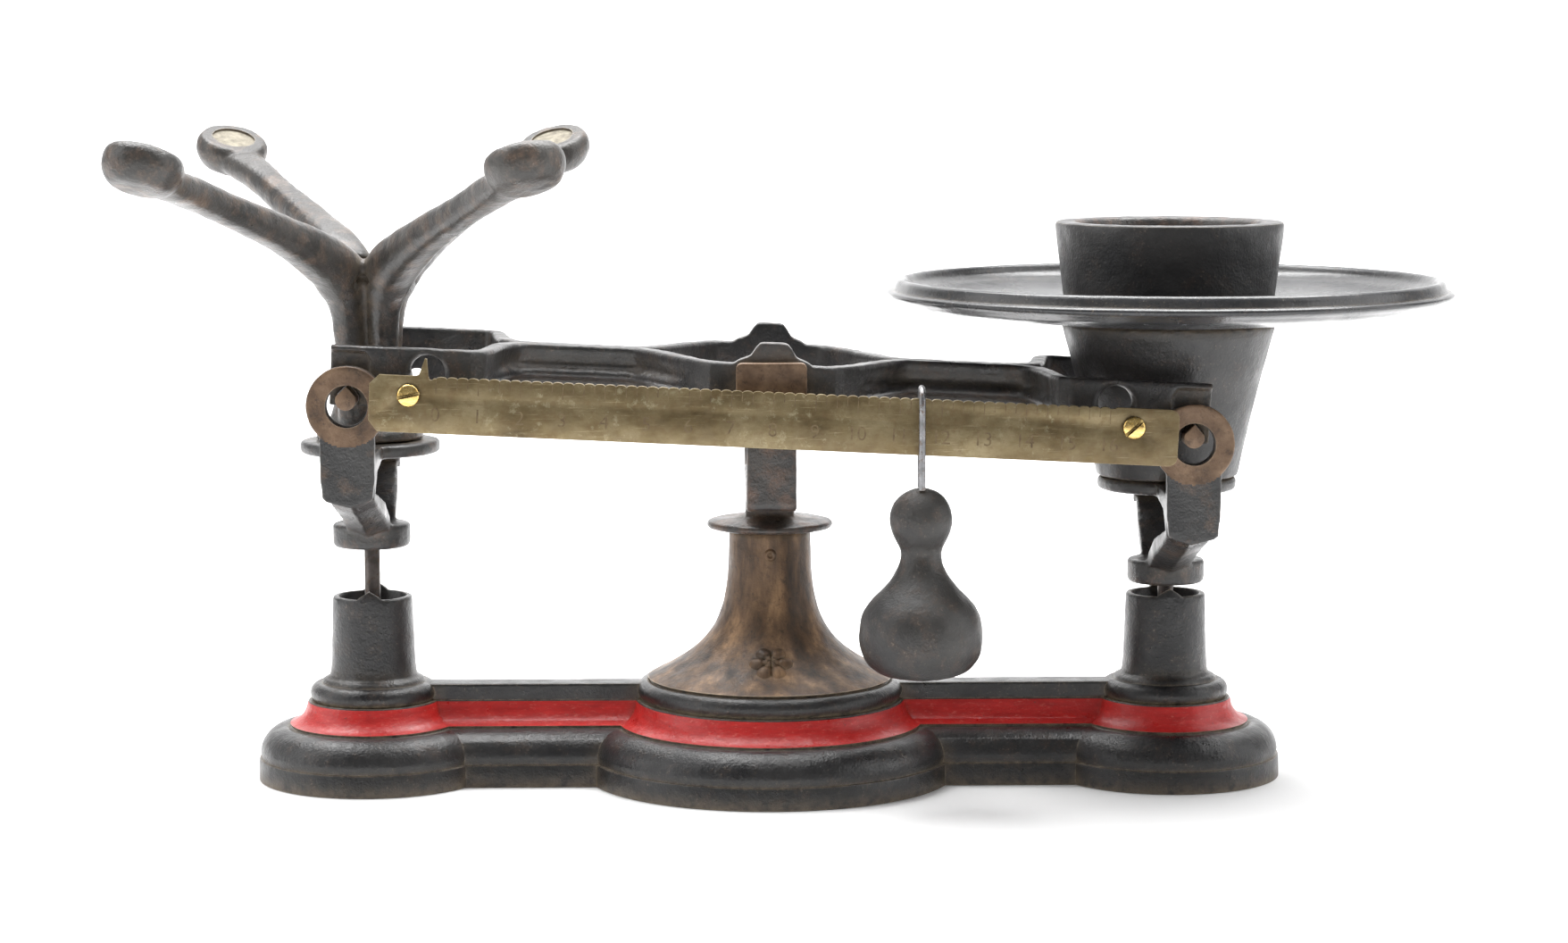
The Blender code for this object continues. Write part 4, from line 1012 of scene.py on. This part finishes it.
def build_hanger(end):
    name = SIDE_NAME[end]
    apex = APEX[end]
    axis_x = end * PAN_X
    ring_z = apex.z - RING_HOLE + GAP
    top = apex.z - 23.1
    stop_top = apex.z - 52.0
    platform = [(0.0, top - 4.5), (22.4, top - 4.5), (23.6, top - 4.0), (24.0, top - 3.0),
                (24.0, top - 1.1),
                (23.5, top - 0.3), (22.6, top), (0.0, top)]
    body = temp(lathe(platform, 96, (axis_x, 0.0)))
    stop = [(0.0, stop_top - 8.2), (12.2, stop_top - 8.2), (13.1, stop_top - 7.6), (13.4, stop_top - 6.4),
            (13.4, stop_top - 1.0), (12.9, stop_top - 0.2), (12.2, stop_top), (0.0, stop_top)]
    parts = [lathe(stop, 72, (axis_x, 0.0))]
    outer = RING_Y + RING_THICK / 2
    inner = RING_Y - RING_THICK / 2
    for side in (-1, 1):
        lo, hi = sorted((side * inner, side * outer))
        plate = [(apex.x - 9.2, ring_z), (apex.x - 9.0, top - 8.0), (apex.x - 8.2, top - 14.6),
                 (apex.x - 7.0, top - 15.6),
                 (apex.x - end * 0.6, top - 17.6), (apex.x + 7.0, top - 15.6), (apex.x + 8.2, top - 14.6),
                 (apex.x + 9.0, top - 8.0), (apex.x + 9.2, ring_z)]
        parts.append(prism(plate, lo, hi))
        disc = temp(rod(RING_RADIUS, lo, hi, (apex.x, ring_z), "Y", 96))
        parts.append(disc)
        gusset = [(side * (inner + 1.0), top - 0.3), (side * 19.0, top - 0.3), (side * 19.0, top - 4.5),
                  (side * 39.0, top - 7.0), (side * (inner - 2.0), top - 12.0),
                  (side * (inner + 1.5), top - 15.5)]
        parts.append(prism(gusset, apex.x - 8.9, apex.x + 8.9, "X"))
        sections = []
        neck_x = axis_x
        for y, z_low, z_high, half in ((inner + 2.4, top - 16.6, top - 12.6, 7.6),
                                       (inner - 4.0, top - 18.8, top - 13.0, 7.6),
                                       (38.0, top - 21.6, top - 14.4, 7.6),
                                       (24.0, stop_top + 1.6, top - 18.6, 7.5),
                                       (11.0, stop_top - 4.4, stop_top + 4.0, 7.4),
                                       (6.0, stop_top - 5.6, stop_top - 1.0, 7.2)):
            share = (inner + 2.4 - y) / (inner - 3.6)
            x = apex.x + (neck_x - apex.x) * min(share * 1.4, 1.0)
            sections.append([(x - half, side * y, z_high), (x - half, side * y, z_low + 3.0),
                             (x, side * y, z_low),
                             (x + half, side * y, z_low + 3.0), (x + half, side * y, z_high)])
        parts.append(loft(sections))
    pour(body, parts, 0.58, 2)
    for side in (-1, 1):
        lo, hi = sorted((side * (inner - 3), side * (outer + 2)))
        cut(body, rod(RING_HOLE, lo, hi, (apex.x, ring_z), "Y", 64))
        lo, hi = sorted((side * (inner - 3), side * (outer - LINER_LIP)))
        cut(body, rod(LINER_RADIUS + GAP, lo, hi, (apex.x, ring_z), "Y", 64))
    for polygon in body.data.polygons:
        place = polygon.center
        from_ring = math.hypot(place.x - apex.x, place.z - ring_z)
        polygon.material_index = 1 if from_ring < RING_RADIUS + 0.1 and abs(place.y) > outer - 0.55 else 0
    uneven(body, 0.08, 5.0)
    piece(body, f"{name}_carrier", f"{name}_pan", [f"{name}_hanger"], [HANGER_IRON, RING_BRONZE],
          sharp=50)

    for side in (-1, 1):
        lo, hi = sorted((side * inner, side * (outer - LINER_LIP - GAP)))
        liner = temp(rod(LINER_RADIUS, lo, hi, (apex.x, ring_z), "Y", 64))
        cut(liner, rod(RING_HOLE - 0.25, lo - 2, hi + 2, (apex.x, ring_z + 0.1), "Y", 64))
        bevelled(liner, 0.2, 2, 40)
        node = f"{name}_bearing_{FACE_NAME[side]}"
        piece(liner, f"{node}_ring", f"{name}_pan", [node], LINER_STEEL, sharp=35)

    pin = middle(f"{name}_stem_pin")
    fork_top = pin.z + 13.0
    rod_top = high(f"{name}_stem").z
    stem = temp(rod(2.7, fork_top - 1.0, rod_top, (axis_x, 0.0), "Z", 48))
    fork = [(axis_x - 3.6, fork_top), (axis_x - 3.6, pin.z), *arc((axis_x, pin.z), (3.6, 3.6), 190, 350,
                                                                  12),
            (axis_x + 3.6, pin.z), (axis_x + 3.6, fork_top)]
    join(stem, prism(fork, -6.4, 6.4))
    cut(stem, block((axis_x - 6.0, -3.1, pin.z - 6.0), (axis_x + 6.0, 3.1, fork_top - 3.0)))
    cut(stem, rod(1.95, -8.0, 8.0, (axis_x, pin.z), "Y", 24))
    bevelled(stem, 0.3, 2, 40)
    piece(stem, f"{name}_push_rod", f"{name}_pan", [f"{name}_stem"], ROD_STEEL, sharp=35)


# ---------------------------------------------------------------- loads that lift off

def pad_facing(sx, sy):
    """The way a pad's flat top faces: up, and in towards the middle of the spider."""
    inward = Vector((-sx * PAD_OUT[0], -sy * PAD_OUT[1], 0.0)).normalized()
    return inward * math.sin(PAD_TILT) + Vector((0.0, 0.0, math.cos(PAD_TILT)))


def build_spider():
    base = low("spider").z
    x0 = -PAN_X
    core = curve_through([(18.6, base + 0.2), (17.6, base + 3.0), (13.2, base + 9.0), (10.4, base + 24.0),
                          (10.4, base + 42.0), (9.6, base + 52.0), (5.0, base + 59.0)], 5)
    body = temp(lathe([(0.0, base), (18.2, base), *core, (0.0, base + 60.0)], 64, (x0, 0.0)))
    parts, insets, seats = [], [], []
    for sx in (-1, 1):
        for sy in (-1, 1):
            facing = pad_facing(sx, sy)
            pad = Vector((x0 + sx * PAD_OUT[0], sy * PAD_OUT[1], base + PAD_RISE))
            turn = Matrix.Translation(pad) @ Vector((0.0, 0.0,
                                                     1.0)).rotation_difference(facing).to_matrix().to_4x4()
            seats.append(turn.inverted())
            steps = [(4.6, 9.5, 1.5), (5.2, 9.6, 10.0), (5.4, 9.4, 26.0), (5.6, 10.0, 44.0),
                     (7.2, 13.0, 55.0),
                     (12.0, 21.0, 62.5), (24.0, 41.5, 72.5), (38.0, 66.0, 81.6), (48.0, 83.5, 88.0)]
            points = [(x0 + sx * x, sy * y, base + z) for x, y, z in steps]
            points.append(tuple(pad - facing * 2.0))
            sizes = [(4.6, 4.6), (4.4, 4.6), (4.4, 4.8), (5.4, 6.6), (7.6, 9.0), (8.0, 8.2), (6.4, 6.2),
                     (5.6, 5.2),
                     (6.4, 5.2), (9.0, 4.6)]
            route = curve_through(points, 5)
            spread = curve_through([(a, b, 0.0) for a, b in sizes], 5)
            stations = [(p, s[0], s[1]) for p, s in zip(route, spread)]
            parts.append(tube(stations, 24, 2.6, up=(sx * 0.35, sy * 0.6, 1.0)))
            disc = curve_through([(3.0, -6.9), (9.2, -6.1), (12.4, -2.0), (13.1, 0.8), (12.9, 3.4),
                                  (11.5, 5.6)], 5)
            cup = lathe([(0.0, -6.9), *disc, (0.0, 5.6)], 64)
            bmesh.ops.transform(cup, matrix=turn, verts=cup.verts)
            parts.append(cup)
            inset = rod(PAD_INSET, 4.8, 9.0, (0.0, 0.0), "Z", 64)
            bmesh.ops.transform(inset, matrix=turn, verts=inset.verts)
            insets.append(inset)
    pour(body, parts, 0.85, 6)
    for inset in insets:
        cut(body, inset)
    for polygon in body.data.polygons:
        spots = [seat @ polygon.center for seat in seats]
        polygon.material_index = int(any(math.hypot(v.x,
                                                    v.y) < PAD_INSET - 0.1 and 4.4 < v.z < 6.0 for v in spots))
    uneven(body, 0.22, 7.0)
    piece(body, "goods_spider", "spider", ["spider"], [SPIDER_IRON, PAD], sharp=60)


def build_loads():
    lo, hi = low("cone_support").z, high("cone_support").z
    profile = [(0.0, hi - 7.0), (30.5, hi - 7.0), (31.0, hi - 0.3), (31.4, hi), (35.8, hi),
               (36.4, hi - 0.5), (36.6, hi - 1.4)]
    for step in range(1, 20):
        t = step / 20
        profile.append((36.6 + (24.7 - 36.6) * t - 0.5 * math.sin(math.pi * t),
                        hi - 1.4 + (lo + 1.8 - hi + 1.4) * t))
    profile += [(24.7, lo + 1.6), (24.3, lo + 0.5), (23.4, lo), (0.0, lo)]
    cone = uneven(temp(lathe(profile, 112, (PAN_X, 0.0))), 0.12, 8.0)
    piece(cone, "cone_stand", "cone_support", ["cone_support"], CUP_IRON)

    lo = low("plate").z + 3.0
    profile = [(0.0, lo + 2.0), (26.0, lo + 2.0), (26.4, lo - 2.7), (26.8, lo - 3.0), (29.2, lo - 3.0),
               (29.6, lo - 2.6)]
    profile += curve_through([(29.8, lo), (46.0, lo + 0.6), (70.0, lo + 3.0), (88.0, lo + 5.4),
                              (94.0, lo + 7.6),
                              (96.5, lo + 8.8), (97.2, lo + 9.6), (97.1, lo + 10.4), (96.2, lo + 11.0)], 5)
    profile += [(95.2, lo + 11.1), (94.8, lo + 11.6), (94.4, lo + 13.0)]
    profile += curve_through([(93.9, lo + 14.2), (93.0, lo + 14.8), (92.0, lo + 14.7), (91.2, lo + 14.0),
                              (89.4, lo + 11.6),
                              (84.0, lo + 9.4), (66.0, lo + 7.2), (44.0, lo + 5.3)], 5)
    profile += [(40.0, lo + 5.2), (0.0, lo + 5.2)]
    dish = uneven(temp(lathe(profile, 160, (PAN_X, 0.0))), 0.10, 14.0)
    piece(dish, "weight_plate", "plate", ["plate"], PLATE_IRON)

    lo, hi = low("weight_cup").z, high("weight_cup").z
    profile = [(0.0, lo), (34.8, lo), (35.6, lo + 0.3), (36.0, lo + 1.1)]
    for step in range(1, 12):
        t = step / 12
        profile.append((36.0 + 3.2 * t, lo + 1.1 + (hi - 3.4 - lo - 1.1) * t))
    profile += [(39.2, hi - 3.2), (39.25, hi - 1.0), (38.9, hi - 0.3), (38.2, hi), (33.4, hi),
                (32.6, hi - 0.4),
                (31.7, hi - 1.4), (31.2, hi - 6.0), (30.8, hi - 12.6), (29.8, hi - 13.8), (28.0, hi - 14.0),
                (0.0, hi - 14.0)]
    cup = temp(lathe(profile, 128, (PAN_X, 0.0)))
    for polygon in cup.data.polygons:
        place = polygon.center
        inside = math.hypot(place.x - PAN_X, place.y) < 33.0 and place.z > lo + 1.0
        polygon.material_index = 1 if inside else 0
    uneven(cup, 0.12, 7.0)
    piece(cup, "weight_holder", "weight_cup", ["weight_cup"], [CUP_IRON, POST_IRON])


# ---------------------------------------------------------------- poise

def build_poise():
    spot = middle("poise_bail")
    x = spot.x
    crown = high("poise_bail").z - 1.15
    foot = low("poise_bail").z
    loop = [(-3.9, foot + 1.0), (-4.3, foot + 10.0), (-4.75, crown - 8.0),
            *arc((0.0, crown - 4.75), (4.75, 4.75), 175, 5, 10),
            (4.75, crown - 8.0), (4.3, foot + 10.0), (3.9, foot + 1.0)]
    route = curve_through([(x, BAR_Y + y, z) for y, z in loop], 4)
    bail = temp(tube([(p, 1.12, 1.12) for p in route], 16, 2.0, up=(1.0, 0.0, 0.0)))
    piece(bail, "bail_hook", "poise_bail", ["poise_bail"], WIRE, sharp=60)

    ball = foot + 30.3 - 39.3
    shape = [(0.0, 10.3), (2.6, 10.0), (6.0, 8.5), (9.0, 5.2), (10.35, 0.6), (9.9, -3.8), (8.4, -7.2),
             (7.2, -9.4),
             (6.7, -11.0), (6.75, -13.0), (7.4, -15.4), (8.7, -18.2), (10.6, -21.0), (13.0, -23.8),
             (15.8, -26.6),
             (18.2, -29.6), (19.8, -33.0), (20.45, -37.4), (20.4, -41.4), (19.6, -45.2), (17.6, -48.6),
             (14.2, -51.2),
             (10.0, -52.6), (6.0, -53.1), (0.0, -53.2)]
    profile = [(max(r, 0.0), ball + z) for r, z in curve_through(shape, 4)]
    profile[0] = (0.0, profile[0][1])
    profile[-1] = (0.0, profile[-1][1])
    weight = uneven(temp(lathe(profile, 96, (x, BAR_Y))), 0.22, 6.0)
    piece(weight, "poise_pear", "poise_weight", ["poise_weight"], POISE_IRON,
          sharp=60)


# ---------------------------------------------------------------- CAD nodes that stay

def dress_cad_nodes():
    """The hidden parts keep their CAD shapes, with softened edges and aged steel."""
    looks = {"centre_bearing_front": LINER_STEEL, "centre_bearing_rear": LINER_STEEL,
             "fulcrum_nut": ROD_STEEL,
             "check_link_pin": ROD_STEEL, "centre_knife_front": STEEL, "centre_knife_rear": STEEL,
             "left_stem_pin": ROD_STEEL, "right_stem_pin": ROD_STEEL, "check_link": ROD_STEEL}
    for name, material in looks.items():
        obj = frame["nodes"][name]
        obj.data.materials.clear()
        obj.data.materials.append(material)
        weld = obj.modifiers.new("weld", "WELD")
        weld.merge_threshold = 1e-6
        bevel = obj.modifiers.new("bevel", "BEVEL")
        bevel.width = 0.2 * MM
        bevel.segments = 2
        bevel.limit_method = "ANGLE"
        bevel.angle_limit = math.radians(35)


# ---------------------------------------------------------------- studio

def build_studio():
    scene = bpy.context.scene
    bm = bmesh.new()
    sweep = [(-2.6, 0.0), (1.3, 0.0)] + [(1.3 + 0.9 * math.sin(a), 0.9 - 0.9 * math.cos(a))
                                         for a in (math.radians(9 * i) for i in range(1, 11))] + [(2.2,
                                                                                                   3.2)]
    rows = [[bm.verts.new((x, y, z - 0.0002)) for x in (-3.2, 3.2)] for y, z in sweep]
    for a, b in zip(rows, rows[1:]):
        bm.faces.new((a[0], a[1], b[1], b[0]))
    mesh = bpy.data.meshes.new("floor")
    bm.to_mesh(mesh)
    bm.free()
    mesh.shade_smooth()
    floor = bpy.data.objects.new("floor", mesh)
    scene.collection.objects.link(floor)
    paper = bpy.data.materials.new("floor_paper")
    paper.use_nodes = True
    shader = paper.node_tree.nodes["Principled BSDF"]
    shader.inputs["Base Color"].default_value = (0.90, 0.90, 0.90, 1.0)
    shader.inputs["Roughness"].default_value = 0.9
    shader.inputs["Specular IOR Level"].default_value = 0.1
    mesh.materials.append(paper)

    world = bpy.data.worlds.new("studio")
    world.use_nodes = True
    world.node_tree.nodes["Background"].inputs["Color"].default_value = (1.0, 1.0, 1.0, 1.0)
    world.node_tree.nodes["Background"].inputs["Strength"].default_value = WORLD_STRENGTH
    scene.world = world

    def lamp(name, place, aim, size, power, colour=(1.0, 1.0, 1.0)):
        data = bpy.data.lights.new(name, "AREA")
        data.shape = "RECTANGLE"
        data.size, data.size_y = size
        data.energy = power
        data.color = colour
        obj = bpy.data.objects.new(name, data)
        obj.location = place
        obj.rotation_euler = (Vector(aim) - Vector(place)).to_track_quat("-Z", "Y").to_euler()
        scene.collection.objects.link(obj)

    lamp("overhead", (0.0, 0.25, 1.5), (0.0, 0.0, 0.1), (2.2, 1.4), OVERHEAD_POWER)
    lamp("left_side", (-1.5, -0.2, 0.8), (0.0, 0.0, 0.1), (1.2, 1.4), SIDE_POWER)
    lamp("right_side", (1.5, -0.2, 0.8), (0.0, 0.0, 0.1), (1.2, 1.4), SIDE_POWER)
    lamp("backdrop", (0.0, 0.9, 2.4), (0.0, 2.0, 0.6), (3.0, 1.0), BACKDROP_POWER)


def build_camera():
    """Camera at the photograph's place: level with the top of the plate, looking slightly down."""
    pitch, roll, yaw = 0.118, -0.0013, -0.0182
    away, across, height = 1230.17, 5.0054, 252.163
    start = Matrix(((1, 0, 0), (0, 0, -1), (0, 1, 0)))
    turn = Matrix(((math.cos(yaw), math.sin(yaw), 0), (-math.sin(yaw), math.cos(yaw), 0), (0, 0, 1)))
    nod = Matrix(((1, 0, 0), (0, math.cos(pitch), -math.sin(pitch)), (0, math.sin(pitch), math.cos(pitch))))
    lean = Matrix(((math.cos(roll), -math.sin(roll), 0), (math.sin(roll), math.cos(roll), 0), (0, 0, 1)))
    view = lean @ nod @ start @ turn
    place = turn.transposed() @ Vector((across, -away, height))
    right, down, ahead = view[0], view[1], view[2]
    axes = Matrix((right, -down, -ahead)).transposed()
    data = bpy.data.cameras.new("camera")
    data.lens = 82.0
    data.sensor_width = 36.0
    data.clip_end = 20.0
    camera = bpy.data.objects.new("camera", data)
    camera.matrix_world = Matrix.Translation(place * MM) @ axes.to_4x4()
    bpy.context.scene.collection.objects.link(camera)
    bpy.context.scene.camera = camera


bpy.context.scene.view_settings.view_transform = "Standard"
build_base()
build_fulcrum()
build_beam()
build_graduated_bar()
for end in (-1, 1):
    build_hanger(end)
build_spider()
build_loads()
build_poise()
dress_cad_nodes()
build_studio()
build_camera()
